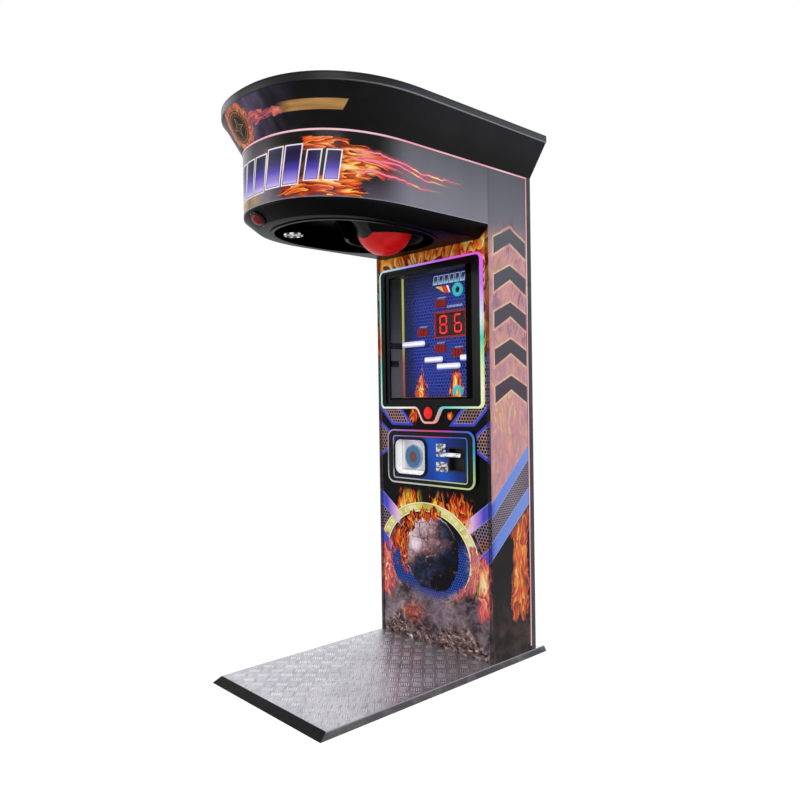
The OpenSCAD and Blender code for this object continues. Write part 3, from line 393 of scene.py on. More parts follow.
class Effects:
    """Shader node groups that more than one finish uses, each built once."""

    _built: Dict[str, bpy.types.NodeTree] = {}

    @classmethod
    def _group(cls, name: str, inputs: Sequence[Tuple[str, str, object]], outputs: Sequence[Tuple[str, str]],
               fill: Callable[[Graph, Dict[str, Val]], Dict[str, Val]]) -> bpy.types.NodeTree:
        """Makes a group with named sockets, or gives the one already made.

        Args:
            name: the group's name.
            inputs: name, socket kind and first value of each input.
            outputs: name and socket kind of each output.
            fill: adds the nodes and gives the outputs by name.

        Returns:
            The group's tree.
        """
        if name in cls._built:
            return cls._built[name]
        tree = bpy.data.node_groups.new(name, "ShaderNodeTree")
        for label, kind, first in inputs:
            socket = tree.interface.new_socket(label, in_out="INPUT", socket_type=kind)
            if first is not None:
                socket.default_value = first
        for label, kind in outputs:
            tree.interface.new_socket(label, in_out="OUTPUT", socket_type=kind)
        graph = Graph(tree)
        start = graph.node("NodeGroupInput")
        end = graph.node("NodeGroupOutput")
        made = fill(graph, {s.name: Val(graph, s) for s in start.outputs if s.name})
        for label, _ in outputs:
            graph.feed(end.inputs[label], made[label])
        cls._built[name] = tree
        return tree

    @classmethod
    def silk(cls) -> bpy.types.NodeTree:
        """Fire of fine threads, like combed silk, that rises along the place's y.

        The place is bent by a coarse and a fine noise and drawn out upwards. The threads are levels of a soft
        noise: the part after the point of ten times it. Fuel is how much fire there is, from 0 to 1.
        """

        def fill(g: Graph, put: Dict[str, Val]) -> Dict[str, Val]:
            """Adds the nodes of the fire."""
            bent = g.shake(put["Place"], put["Place"], (0.17, 0.14, 0.0), 5.0, 2.0, 0.5)
            bent = g.shake(bent, put["Place"], (0.035, 0.03, 0.0), 17.0, 2.0, 0.5)
            tall = g.vector("MULTIPLY", bent, (1.0, 0.34, 1.0))
            thread = g.math("FRACT",
                g.noise(tall, 7.0, 2.0, 0.45) * 10.0 + g.noise(tall, 46.0, 2.0, 0.5) * 0.5)
            body = g.noise(tall, 10.0, 3.0, 0.6)
            wisp = g.noise(tall, 40.0, 2.0, 0.5)
            heat = put["Fuel"] * 1.15 + (body - 0.5) * 2.0 + (wisp - 0.5) * 0.5 - 0.36
            glow = g.ramp(thread * 0.55 + heat * 0.45 + (wisp - 0.5) * 0.3,
                [(0.0, "#120303"), (0.18, "#4c0c07"), (0.36, "#a02a10"), (0.54, "#dc5422"), (0.70, "#f09436"),
                (0.84, "#f6cc60"), (1.0, "#fcefb4")])
            cover = heat.step(0.0, 0.16) * put["Fuel"].step(0.02, 0.12)
            return {"Fire": glow, "Cover": cover, "Thread": thread}

        return cls._group("silk", [("Place", "NodeSocketVector", None), ("Fuel", "NodeSocketFloat", 0.5)],
            [("Fire", "NodeSocketColor"), ("Cover", "NodeSocketFloat"), ("Thread", "NodeSocketFloat")], fill)

    @classmethod
    def comb(cls) -> bpy.types.NodeTree:
        """Six-sided holes in rows.

        Two square-and-root-three lattices are wrapped round the place, and the hole is where the
        nearer lattice point is closer, by the six-sided distance, than half a pitch less the wall.
        """

        def fill(g: Graph, put: Dict[str, Val]) -> Dict[str, Val]:
            """Adds the nodes of the comb."""
            root = math.sqrt(3.0)
            unit = g.vector("SCALE", put["Place"], 1.0 / put["Pitch"])

            def reach(shift: Point3) -> Val:
                """Six-sided distance to the lattice moved by shift."""
                moved = g.vector("ADD", unit, shift)
                near = g.vector("WRAP", moved, (0.5, root / 2, 1.0), (-0.5, -root / 2, -1.0))
                x, y, _ = g.split(g.vector("ABSOLUTE", near))
                return x.most(x * 0.5 + y * (root / 2))

            far = reach((0.0, 0.0, 0.0)).least(reach((0.5, root / 2, 0.0)))
            hole = ((0.5 - put["Wall"] - far) * 14.0 + 0.5).clamp()
            return {"Hole": hole}

        return cls._group("comb", [("Place", "NodeSocketVector", None), ("Pitch", "NodeSocketFloat", 16.0),
            ("Wall", "NodeSocketFloat", 0.12)], [("Hole", "NodeSocketFloat")], fill)

    @classmethod
    def grain(cls) -> bpy.types.NodeTree:
        """Fine unevenness: a mottle for roughness and colour, and a height for the bump."""

        def fill(g: Graph, put: Dict[str, Val]) -> Dict[str, Val]:
            """Adds the nodes of the grain."""
            at = g.vector("SCALE", put["Place"], put["Scale"])
            fine = g.noise(at, 1.0, 3.0, 0.6)
            broad = g.noise(at, 0.045, 2.0, 0.5)
            return {"Height": fine, "Mottle": fine * 0.45 + broad * 0.55}

        return cls._group("grain", [("Place", "NodeSocketVector", None), ("Scale", "NodeSocketFloat", 1.0)],
            [("Height", "NodeSocketFloat"), ("Mottle", "NodeSocketFloat")], fill)

    @classmethod
    def wear(cls) -> bpy.types.NodeTree:
        """Dust that lies low on the machine and thin scuffs that run any way."""

        def fill(g: Graph, put: Dict[str, Val]) -> Dict[str, Val]:
            """Adds the nodes of the wear."""
            _, _, z = g.split(put["Place"])
            cloud = g.noise(put["Place"], 0.012, 4.0, 0.6)
            low = z.step(260.0, 10.0)
            dust = (low * 0.7 + 0.18) * cloud.step(0.42, 0.72)
            scuff = g.noise(put["Place"], 0.16, 2.0, 0.5, stretch=(1.0, 1.0, 0.06)).step(0.70, 0.78)
            return {"Dust": dust.clamp(), "Scuff": scuff * 0.5}

        return cls._group("wear", [("Place", "NodeSocketVector", None)],
            [("Dust", "NodeSocketFloat"), ("Scuff", "NodeSocketFloat")], fill)


# Finishes


class Finish:
    """Base of all finishes: a finish gives one material and keeps it."""

    _made: Dict[object, bpy.types.Material] = {}

    def material(self) -> bpy.types.Material:
        """Gives this finish's material, made the first time it is asked for."""
        if self not in Finish._made:
            made = bpy.data.materials.new(type(self).__name__ + "_" + self.label())
            graph = fresh_graph(made)
            shader = graph.node("ShaderNodeBsdfPrincipled")
            graph.set(graph.node("ShaderNodeOutputMaterial"), Surface=Val(graph, shader.outputs[0]))
            self.paint(graph, shader)
            Finish._made[self] = made
        return Finish._made[self]

    def label(self) -> str:
        """A short name for this finish."""
        return getattr(self, "name", "plain")

    def paint(self, g: Graph, shader: bpy.types.Node) -> None:
        """Sets the shader's inputs."""
        raise NotImplementedError


@dataclass(frozen=True)
class Plastic(Finish):
    """Moulded or painted plastic with a fine skin."""

    name: str
    colour: str
    second: str
    roughness: float = 0.25
    grain_scale: float = 1.2
    bump: float = 0.05
    shine: float = 0.5
    dust: float = 0.12

    def paint(self, g: Graph, shader: bpy.types.Node) -> None:
        """Mottles the colour and roughness by the grain, and dusts the low parts."""
        place = g.object_place()
        skin = g.use(Effects.grain(), Place=place, Scale=self.grain_scale)
        worn = g.use(Effects.wear(), Place=place)
        base = g.mix(skin["Mottle"].step(0.3, 0.7), self.colour, self.second)
        base = g.mix(worn["Dust"] * self.dust, base, "#8d8a86")
        g.set(
            shader,
            Base_Color=base,
            Roughness=(skin["Mottle"] * 0.12 + worn["Dust"] * self.dust + worn["Scuff"] * 0.08
                + (self.roughness - 0.05)).clamp(),
            Normal=g.bump(skin["Height"], self.bump, 0.0004),
            Specular_IOR_Level=self.shine,
        )


@dataclass(frozen=True)
class Paint(Finish):
    """Sprayed steel with a faint orange peel, and bare metal where it is scuffed."""

    name: str
    colour: str
    second: str
    roughness: float = 0.4
    peel: float = 0.12
    shine: float = 0.3
    lip: float = 0.0

    def paint(self, g: Graph, shader: bpy.types.Node) -> None:
        """Adds the peel as a bump, the scuffs as bright marks, and a paler tone above the lip's height."""
        place = g.object_place()
        peel = g.use(Effects.grain(), Place=place, Scale=0.35)
        worn = g.use(Effects.wear(), Place=place)
        base = g.mix(peel["Mottle"].step(0.25, 0.75), self.colour, self.second)
        base = g.mix(worn["Scuff"] * 0.4, base, "#8a8b90")
        if self.lip > 0:
            _, _, z = g.split(place)
            base = g.mix(z.step(self.lip - 1.0, self.lip + 1.0) * 0.8, base, "#9b99a2")
        base = g.mix(worn["Dust"] * 0.4, base, "#99958f")
        g.set(
            shader,
            Base_Color=base,
            Roughness=(peel["Mottle"] * 0.15 + worn["Dust"] * 0.2 + (self.roughness - 0.07)).clamp(),
            Normal=g.bump(peel["Height"], self.peel, 0.0006),
            Specular_IOR_Level=self.shine,
        )


@dataclass(frozen=True)
class Metal(Finish):
    """Bare metal, brushed along one axis or cast."""

    name: str
    colour: str
    roughness: float = 0.25
    along: Point3 = (0.05, 1.0, 1.0)
    strength: float = 0.15

    def paint(self, g: Graph, shader: bpy.types.Node) -> None:
        """Draws a noise out along the brushing for the colour, roughness and bump."""
        place = g.object_place()
        brush = g.noise(place, 1.6, 3.0, 0.6, stretch=self.along)
        cloud = g.noise(place, 0.02, 3.0, 0.5)
        dull = linear(self.colour)
        base = g.mix(brush * 0.5 + cloud * 0.3, dull, tuple(c * 0.72 for c in dull[:3]) + (1.0,))
        g.set(
            shader,
            Base_Color=base,
            Metallic=1.0,
            Roughness=(brush * 0.14 + cloud * 0.12 + (self.roughness - 0.12)).clamp(),
            Normal=g.bump(brush, self.strength, 0.0002),
        )


@dataclass(frozen=True)
class Chrome(Finish):
    """Bright plating with painted reflections: bands of dark and light painted across it, as a dark room
    would show in it.
    """

    name: str = "chrome"

    def paint(self, g: Graph, shader: bpy.types.Node) -> None:
        """Spreads the painted reflection bands by a soft noise drawn out along x."""
        place = g.object_place()
        bent = g.noise(place, 1.0, 2.0, 0.5, stretch=(0.016, 0.03, 0.042))
        # painted reflections: dark and bright bands in the base colour
        tone = g.ramp(bent, [(0.30, "#f6f6fa"), (0.42, "#d4d4dc"), (0.50, "#8a8a94"), (0.55, "#26262c"),
            (0.60, "#b4b4be"), (0.72, "#f4f4f8")])
        fine = g.noise(place, 0.9, 3.0, 0.6)
        g.set(
            shader,
            Base_Color=tone,
            Metallic=1.0,
            Roughness=fine * 0.08 + 0.06,
            Normal=g.bump(fine, 0.03, 0.0002),
        )


@dataclass(frozen=True)
class Lens(Finish):
    """Downlight: a chrome ring with painted bright and dark reflection bands round a dark lens in which a few
    small lamps show.
    """

    name: str = "lens"
    middle: Point2 = (-60.0, -371.5)
    lens_r: float = 28.5

    def paint(self, g: Graph, shader: bpy.types.Node) -> None:
        """Tells ring, lens and lamps apart by the distance from the middle."""
        place = g.object_place()
        x, y, _ = g.split(place)
        across, along = x - self.middle[0], y - self.middle[1]
        far = g.math("SQRT", across * across + along * along)
        turn = g.math("ARCTAN2", along, across)
        spot = far.near(14.0, 5.5, 3.0) * g.math("SINE", turn * 5.0).step(0.4, 0.9)
        ring = far.step(self.lens_r - 0.6, self.lens_r + 0.6)
        # painted reflection: bright and dark bands round the chrome ring
        painted_ring_glint = g.math("SINE", turn * 7.0 + 0.8).step(-0.4, 0.7)
        tone = g.mix(ring, "#0a0a0d", g.mix(painted_ring_glint, "#3a3a42", "#f2f2f6"))
        g.set(
            shader,
            Base_Color=g.mix(spot.most(far.step(5.0, 3.0)), tone, "#e8e8f0"),
            Metallic=ring,
            Roughness=0.18 - ring * 0.08,
            Emission_Color=g.mix(spot.most(far.step(5.0, 3.0)), "#000000", "#f4f4ff"),
            Emission_Strength=0.35,
            Specular_IOR_Level=0.3,
        )


@dataclass(frozen=True)
class RimPaint(Finish):
    """Crown rim: slate on the sides, near black round the nose, with a painted lavender-grey sheen left of
    the nose and a painted highlight on the lower step along the right side.
    """

    name: str = "rim"

    def paint(self, g: Graph, shader: bpy.types.Node) -> None:
        """Changes the tone along the arc, with a painted sheen left of the nose, and paints a highlight on
        the step under the rim.
        """
        arc, z = g.map_place("arc")
        skin = g.use(Effects.grain(), Place=g.object_place(), Scale=0.4)
        around = (arc + 1200.0) / 2400.0
        # tone along the arc; the pale stops left of the nose are a painted sheen
        tone = g.ramp(around, [(0.30, "#3c3d43"), (0.40, "#77757f"), (0.455, "#8a8892"), (0.50, "#1b1a1f"),
            (0.54, "#0c0c0e"), (0.70, "#121214"), (0.78, "#33353a"), (1.0, "#3f4146")])
        # painted highlight on the step under the rim, on the right side
        step = z.near(S.z_rim + 2.0, 3.5, 1.0) * around.step(0.58, 0.76)
        base = g.mix(step * 0.8, tone, "#8f9298")
        g.set(
            shader,
            Base_Color=g.mix(skin["Mottle"] * 0.25, base, "#26262a"),
            Roughness=skin["Mottle"] * 0.12 + 0.32,
            Normal=g.bump(skin["Height"], 0.08, 0.0005),
            Specular_IOR_Level=0.18,
        )


@dataclass(frozen=True)
class BoxWalls(Finish):
    """Inside of the lit box: dark grey with painted light that lightens it downwards, and two black rails on
    its left wall.
    """

    name: str = "box"

    def paint(self, g: Graph, shader: bpy.types.Node) -> None:
        """Grades the walls by height as painted light, and lays the rails."""
        place = g.object_place()
        x, y, z = g.split(place)
        cloud = g.noise(place, 0.02, 3.0, 0.5, stretch=(1.0, 1.0, 0.3))
        # painted light: the walls lighter downwards, darker towards the top
        tone = g.ramp((z - 1104.0) / 560.0 + (cloud - 0.5) * 0.2,
            [(0.0, "#7e8088"), (0.35, "#6a6c74"), (0.7, "#4a4d54"), (1.0, "#2c2f35")])
        lower = z.near(1271.0, 15.0, 13.0) * y.step(352.0, 350.0)
        rails = z.near(1354.0, 15.0, 13.0).most(lower)
        left = x.step(-240.0, -256.0)
        g.set(
            shader,
            Base_Color=g.mix(rails * left, tone, "#08080a"),
            Roughness=cloud * 0.1 + 0.4,
            Specular_IOR_Level=0.2,
        )


@dataclass(frozen=True)
class Dish(Finish):
    """Silver dish of the card reader, with painted shading in lavender and grey from side to side."""

    name: str = "dish"

    def paint(self, g: Graph, shader: bpy.types.Node) -> None:
        """Spreads the painted shading across the dish, and paints its frame white with a painted shade inside
        it.
        """
        place = g.object_place()
        x, _, z = g.split(place)
        soft = g.noise(place, 0.03, 3.0, 0.5, stretch=(1.0, 1.0, 0.25))
        # painted shading: lavender and grey tones across the silver
        tone = g.ramp((x + 211.0) / 186.0 + (soft - 0.5) * 0.16,
            [(0.02, "#fafafc"), (0.14, "#e6e5ec"), (0.26, "#b9b7c4"), (0.42, "#d2d0da"), (0.62, "#e2e0ea"),
            (0.8, "#c4c2ce"), (0.95, "#f2f1f6")])
        # painted shade in the step just inside the frame
        step = x.near(-193.0, 3.0, 1.0).most(z.near(788.0, 3.0, 1.0))
        tone = g.mix(step * 0.55, tone, "#7c7a88")
        edge = (x + 196.0).step(0.0, -2.0).most((z - 785.0).step(0.0, -2.0))
        g.set(
            shader,
            Base_Color=g.mix(edge, tone, "#ffffff"),
            Metallic=0.3,
            Roughness=soft * 0.15 + 0.2,
            Normal=g.bump(soft, 0.05, 0.0004),
        )


@dataclass(frozen=True)
class TreadMetal(Finish):
    """Rolled tread plate: bright bars, their tops lightened by a painted highlight, and a duller ground that
    feet have rubbed.
    """

    name: str = "tread"

    def paint(self, g: Graph, shader: bpy.types.Node) -> None:
        """Brightens the bars' tops with a painted highlight, and lays clouds, scratches and a slanted weave
        over the ground.
        """
        place = g.object_place()
        x, y, z = g.split(place)
        cloud = g.noise(place, 0.006, 4.0, 0.6)
        fine = g.noise(place, 0.5, 4.0, 0.65, stretch=(1.0, 0.25, 1.0))
        top = z.step(S.plate_top + 0.1, S.plate_top + 0.9)
        slant = g.join(x + y * 0.9, (y - x * 0.9) * 0.16, z)
        weave = g.noise(slant, 1.0, 2.0, 0.5, stretch=(0.09, 0.09, 0.09))
        ground = g.mix(cloud.step(0.35, 0.65), "#bdbbc4", "#d4d2da")
        ground = g.mix(fine.step(0.35, 0.75) * 0.3, ground, "#9c9aa4")
        ground = g.mix(weave.step(0.54, 0.64) * 0.45, ground, "#84828c")
        # painted highlight: the bar tops lightened towards white
        base = g.mix(top * 0.8, ground, "#f4f3f8")
        g.set(
            shader,
            Base_Color=base,
            Metallic=0.92,
            Roughness=(fine * 0.16 + cloud * 0.16 + weave * 0.1 + 0.16 - top * 0.08).clamp(),
            Normal=g.bump(fine, 0.2, 0.0003),
        )


@dataclass(frozen=True)
class Rubber(Finish):
    """Black rubber."""

    name: str = "rubber"

    def paint(self, g: Graph, shader: bpy.types.Node) -> None:
        """Makes a dull black with a pitted skin."""
        place = g.object_place()
        skin = g.use(Effects.grain(), Place=place, Scale=2.0)
        g.set(
            shader,
            Base_Color=g.mix(skin["Mottle"], "#141414", "#26262a"),
            Roughness=skin["Mottle"] * 0.2 + 0.65,
            Normal=g.bump(skin["Height"], 0.3, 0.0005),
        )


@dataclass(frozen=True)
class Glass(Finish):
    """Clear pane with a black border printed at its right and along its foot."""

    name: str = "pane"
    right: float = 213.0
    foot: float = 1112.0

    def paint(self, g: Graph, shader: bpy.types.Node) -> None:
        """Lets light through, keeps faint smears in the roughness and prints the border."""
        place = g.object_place()
        x, _, z = g.split(place)
        smear = g.noise(place, 0.01, 4.0, 0.6)
        border = x.step(self.right - 0.6, self.right + 0.6).most(z.step(self.foot + 0.6, self.foot - 0.6))
        g.set(
            shader,
            Roughness=smear.step(0.5, 0.9) * 0.05 + 0.01,
            Base_Color=g.mix(border, "#f4f6fa", "#020203"),
            Transmission_Weight=1.0,
            IOR=1.1,
        )


class Spread(Enum):
    """Ways in which the colour of a light strip changes along it."""

    DISPLAY = "display"
    COIN = "coin"
    CANOPY = "canopy"
    COLUMN = "column"
    TUBES = "tubes"


@dataclass(frozen=True)
class Strip(Finish):
    """A lit strip whose colour changes from place to place."""

    name: str
    spread: Spread
    power: float = 1.0

    def colour_of(self, g: Graph, place: Val) -> Val:
        """The strip's colour.

        Args:
            g: the graph.
            place: where the strip is, in millimetres.

        Returns:
            The colour at that place.
        """
        x, _, z = g.split(place)
        if self.spread in (Spread.CANOPY, Spread.COLUMN):
            return g.ramp(g.noise(place, 0.004, 1.0, 0.5),
                [(0.3, "#f39fb0"), (0.5, "#f8bcc8"), (0.7, "#fbd6dd")])
        if self.spread is Spread.TUBES:
            return g.ramp((z - 1110.0) / 560.0,
                [(0.0, "#a8583e"), (0.3, "#c07050"), (0.42, "#cfc465"), (0.8, "#dde07a"), (1.0, "#c8cc78")])
        if self.spread is Spread.COIN:
            turn = g.math("ARCTAN2", (z - S.coin_mid) * 1.6, x) / (2 * math.pi) + 0.5
            return g.ramp(turn, [(0.0, "#8a8a96"), (0.12, "#cfd0cc"), (0.28, "#b8c8a8"), (0.38, "#d8e098"),
                (0.47, "#8ad08a"), (0.54, "#38a8d8"), (0.62, "#3a62e8"), (0.68, "#c83aa8"), (0.76, "#d84a6c"),
                (0.86, "#a86ad0"), (0.94, "#b0a8c0"), (1.0, "#8a8a96")])
        mid = (S.disp_z + S.disp_top) / 2 - 30.0
        turn = g.math("ARCTAN2", z - mid, x) / (2 * math.pi) + 0.5
        return g.ramp(turn, [(0.0, "#e8784a"), (0.05, "#58d8c0"), (0.12, "#c8f0e0"), (0.17, "#e8e4d0"),
            (0.235, "#f0a8a8"), (0.265, "#f0908c"), (0.30, "#48c8c8"), (0.36, "#b8e0a8"), (0.40, "#f0f0c0"),
            (0.45, "#c8e8a8"), (0.50, "#30c8a8"), (0.54, "#d0e8f0"), (0.60, "#c070f0"), (0.66, "#f050e0"),
            (0.72, "#c068f4"), (0.80, "#a89cf0"), (0.87, "#a8e4e4"), (0.93, "#6ae0d8"), (1.0, "#e8784a")])

    def core(self, g: Graph, place: Val) -> Val:
        """Where the strip is lit: along the middle line on canopy and column, and all over elsewhere."""
        _, y, z = g.split(place)
        if self.spread is Spread.CANOPY:
            return z.near((S.z_led + S.z_crown) / 2, 4.2, 2.2)
        if self.spread is Spread.COLUMN:
            return y.near(S.y_post - 5.0, 4.2, 2.4)
        return z.step(0.0, 1.0)

    def paint(self, g: Graph, shader: bpy.types.Node) -> None:
        """Lights the strip, a little less between its lamps."""
        place = g.object_place()
        glow = self.colour_of(g, place)
        beads = g.noise(place, 0.11, 1.0, 0.4)
        lit = g.mix(beads.step(0.35, 0.65) * 0.12, glow, "#6a6072")
        lit = g.mix(self.core(g, place), "#4a2c38", lit)
        g.set(
            shader,
            Base_Color=g.mix(0.72, lit, "#1a181c"),
            Emission_Color=lit,
            Emission_Strength=self.power,
            Roughness=beads * 0.1 + 0.35,
            Specular_IOR_Level=0.15,
        )


@dataclass(frozen=True)
class LitRed(Finish):
    """Clear red plastic, lit a little from inside."""

    name: str
    power: float = 0.25
    deep: str = "#d01010"
    bright: str = "#ee2418"

    def paint(self, g: Graph, shader: bpy.types.Node) -> None:
        """Deepens the red by a faint ribbing, and lets it glow."""
        place = g.object_place()
        rib = g.noise(place, 0.25, 2.0, 0.5)
        red = g.mix(rib.step(0.35, 0.65), self.deep, self.bright)
        g.set(
            shader,
            Base_Color=red,
            Emission_Color=red,
            Emission_Strength=self.power,
            Roughness=rib * 0.08 + 0.08,
            Specular_IOR_Level=0.12,
            Coat_Weight=0.04,
            Coat_Roughness=0.04,
        )


@dataclass(frozen=True)
class Digits(Finish):
    """Seven-segment modules: a frame, a dark red window, and the segments that are on.

    Windows lists x, z, width, height and number of digits of each module. A segment is on where the
    place is nearer the viewer than front_y, except in the boxes listed as dark.
    """

    name: str
    front_y: float
    windows: Tuple[Tuple[float, float, float, float, int], ...]
    dark: Tuple[Tuple[float, float, float, float], ...] = ()
    frame_colour: str = "#8c1a1c"

    def paint(self, g: Graph, shader: bpy.types.Node) -> None:
        """Tells frame, window and segment apart by place."""
        place = g.object_place()
        x, y, z = g.split(place)
        inside: Optional[Val] = None
        for cx, cz, w, h, _ in self.windows:
            rim = w * 0.04
            off = ((x - cx).absolute() - (w / 2 - rim - 0.1)).most((z - cz).absolute() - (h / 2 - rim - 0.1))
            inside = off if inside is None else inside.least(off)
        within = (inside * -4.0).clamp()
        raised = ((self.front_y - y) * 6.0).clamp() * within
        for x0, x1, z0, z1 in self.dark:
            beside = (x - (x0 + x1) / 2).absolute() - (x1 - x0) / 2
            past = (z - (z0 + z1) / 2).absolute() - (z1 - z0) / 2
            raised = raised * (beside.most(past) * 4.0).clamp()
        haze = g.noise(place, 0.05, 2.0, 0.5)
        large: Optional[Val] = None
        for cx, cz, w, h, digits in self.windows:
            if digits == 2:
                large = ((x - cx).absolute() - w / 2).most((z - cz).absolute() - h / 2).step(1.0, -1.0)
        base = g.mix(within, self.frame_colour, g.mix(haze, "#160306", "#260609"))
        bright = g.mix(large, "#a81c1e", "#ff2a1c")
        lit = g.mix(raised, g.mix(within, "#5c0f10", "#1a0304"), bright)
        g.set(
            shader,
            Base_Color=g.mix(raised, base, "#c02018"),
            Emission_Color=lit,
            Emission_Strength=0.8,
            Roughness=haze * 0.1 + 0.3,
            Specular_IOR_Level=0.15,
        )


@dataclass(frozen=True)
class BallSkin(Finish):
    """Glossy red covering of the ball, with a fine leather grain and a black cap at its neck.

    The cap begins at the distance cap from the middle, along the axis in y and z.
    """

    name: str = "ball"
    middle: Point2 = (39.7, 1819.5)
    cap: float = 92.0
    axis: Point2 = (-0.982, 0.191)

    def paint(self, g: Graph, shader: bpy.types.Node) -> None:
        """Grains the skin by small cells, with painted shade in their valleys."""
        place = g.object_place()
        cell = g.cells(place, 0.55, "DISTANCE_TO_EDGE")
        crease = cell.step(0.0, 0.18)
        soft = g.noise(place, 0.03, 3.0, 0.5)
        red = g.mix(soft.step(0.3, 0.7), "#de0808", "#ec0e0a")
        # painted shade in the grain's valleys
        red = g.mix((1.0 - crease) * 0.2, red, "#7c0202")
        _, y, z = g.split(place)
        toward = (y - self.middle[0]) * self.axis[0] + (z - self.middle[1]) * self.axis[1]
        red = g.mix(toward.step(self.cap - 0.6, self.cap + 0.6), red, "#0a0a0b")
        g.set(
            shader,
            Base_Color=red,
            Roughness=soft * 0.1 + (1.0 - crease) * 0.1 + 0.26,
            Normal=g.bump(crease, 0.12, 0.0004),
            Specular_IOR_Level=0.15,
            Coat_Weight=0.08,
            Coat_Roughness=0.08,
        )


@dataclass(frozen=True)
class Thread(Finish):
    """Waxed sewing thread."""

    name: str
    colour: str = "#3a0505"

    def paint(self, g: Graph, shader: bpy.types.Node) -> None:
        """Twists two tones together."""
        place = g.object_place()
        x, y, z = g.split(place)
        twist = g.math("SINE", (x + y + z) * 5.0) * 0.5 + 0.5
        tone = linear(self.colour)
        g.set(
            shader,
            Base_Color=g.mix(twist, tone, tuple(min(1.0, c * 2.2) for c in tone[:3]) + (1.0,)),
            Roughness=twist * 0.1 + 0.55,
            Normal=g.bump(twist, 0.4, 0.0003),
        )


@dataclass(frozen=True)
class Board(Finish):
    """Green circuit board with lighter tracks."""

    name: str = "board"

    def paint(self, g: Graph, shader: bpy.types.Node) -> None:
        """Lays square tracks over the board."""
        place = g.object_place()
        track = g.cells(g.vector("MULTIPLY", place, (0.10, 0.10, 0.07)), 1.0, "DISTANCE_TO_EDGE")
        line = track.step(0.06, 0.03)
        g.set(
            shader,
            Base_Color=g.mix(line * 0.7, "#0c3f24", "#2f7a4c"),
            Roughness=0.45 - line * 0.15,
            Normal=g.bump(line, 0.2, 0.0003),
        )


# Printed films


class Canvas:
    """A flat picture in millimetres: a runs across it, b up it, and colour is what is painted so far."""

    def __init__(self, graph: Graph, a: Val, b: Val, ground: object) -> None:
        """Starts the picture with a ground colour."""
        self.g = graph
        self.a = a
        self.b = b
        self.colour = graph.mix(0.0, ground, ground)
        self.place = graph.join(a, b)
        self.metres = graph.vector("SCALE", self.place, MM)

    def shape(self, corners: Sequence[Point2], a: Optional[Val] = None) -> Val:
        """Distance from the edge of a polygon with no hollow, below zero inside.

        It is the greatest of the distances past each side's line.

        Args:
            corners: the polygon's corners in order.
            a: what stands for the place across, such as its absolute value for two mirrored shapes.

        Returns:
            The distance in millimetres.
        """
        across = self.a if a is None else a
        area = sum(p[0] * q[1] - q[0] * p[1] for p, q in zip(corners, list(corners[1:]) + [corners[0]]))
        ring = list(corners) if area > 0 else list(corners)[::-1]
        far: Optional[Val] = None
        for p, q in zip(ring, ring[1:] + ring[:1]):
            length = math.dist(p, q)
            nx, nz = (q[1] - p[1]) / length, -(q[0] - p[0]) / length
            low = self.g.math("MULTIPLY_ADD", self.b, nz, -(p[0] * nx + p[1] * nz))
            side = self.g.math("MULTIPLY_ADD", across, nx, low)
            far = side if far is None else far.most(side)
        return far

    def disc(self, centre: Point2, squeeze: float = 1.0) -> Val:
        """Distance from a point, with the height squeezed."""
        da, db = self.a - centre[0], (self.b - centre[1]) * squeeze
        return self.g.math("SQRT", da * da + db * db)

    def inside(self, far: Val, grow: float = 0.0, soft: float = 1.2) -> Val:
        """Turns a distance into a mask that is 1 inside."""
        return self.g.math("MULTIPLY_ADD", far, -0.5 / soft, 0.5 + grow * 0.5 / soft, clamp=True)

    def line(self, far: Val, at: float, half: float, soft: float = 1.2) -> Val:
        """A mask that is 1 where a distance is within half of the value at."""
        return self.inside((far - at).absolute(), half, soft)

    def paint(self, mask: Number, colour: object) -> None:
        """Paints a colour where the mask is 1."""
        self.colour = self.g.mix(mask, self.colour, colour)

    def fill(self, far: Val, colour: object, grow: float = 0.0, soft: float = 1.2) -> None:
        """Paints a colour inside a distance."""
        self.paint(self.inside(far, grow, soft), colour)

    def fire(self, fuel: Val, shift: Point2 = (0.0, 0.0), zoom: float = 1.0, mask: Optional[Val] = None,
             sideways: bool = False, draw: float = 1.0,
             tint: Optional[Tuple[float, str]] = None) -> Dict[str, Val]:
        """Paints fire.

        Args:
            fuel: how much of it there is, from 0 to 1.
            shift: moves the pattern, in metres.
            zoom: how much smaller its tongues are.
            mask: where it may show.
            sideways: lets the tongues run along a in place of b.
            draw: below 1 draws the tongues out.
            tint: how far its colour goes to another one, and that colour.

        Returns:
            The fire group's outputs.
        """
        x, y, _ = self.g.split(self.metres)
        place = self.g.join(y, x * draw) if sideways else self.g.join(x, y * draw)
        moved = self.g.vector("SCALE", self.g.vector("ADD", place, (shift[0], shift[1], 0.0)), zoom)
        made = self.g.use(Effects.silk(), Place=moved, Fuel=fuel)
        colour = made["Fire"] if tint is None else self.g.mix(tint[0], made["Fire"], tint[1])
        cover = made["Cover"] if mask is None else made["Cover"] * mask
        self.paint(cover, colour)
        return made

    def comb_panel(self, far: Val, border: float, edge: str, web: object, hole: str, pitch: float) -> None:
        """Paints a bordered panel of six-sided holes where far is below zero."""
        self.paint(self.inside(far), edge)
        comb = self.g.use(Effects.comb(), Place=self.place, Pitch=pitch, Wall=0.13)
        core = self.inside(far, -border)
        self.paint(core, web)
        self.paint(core * comb["Hole"], hole)
        rim = self.line(far, -border, 1.2)
        self.paint(rim * 0.7, "#8f94ee")


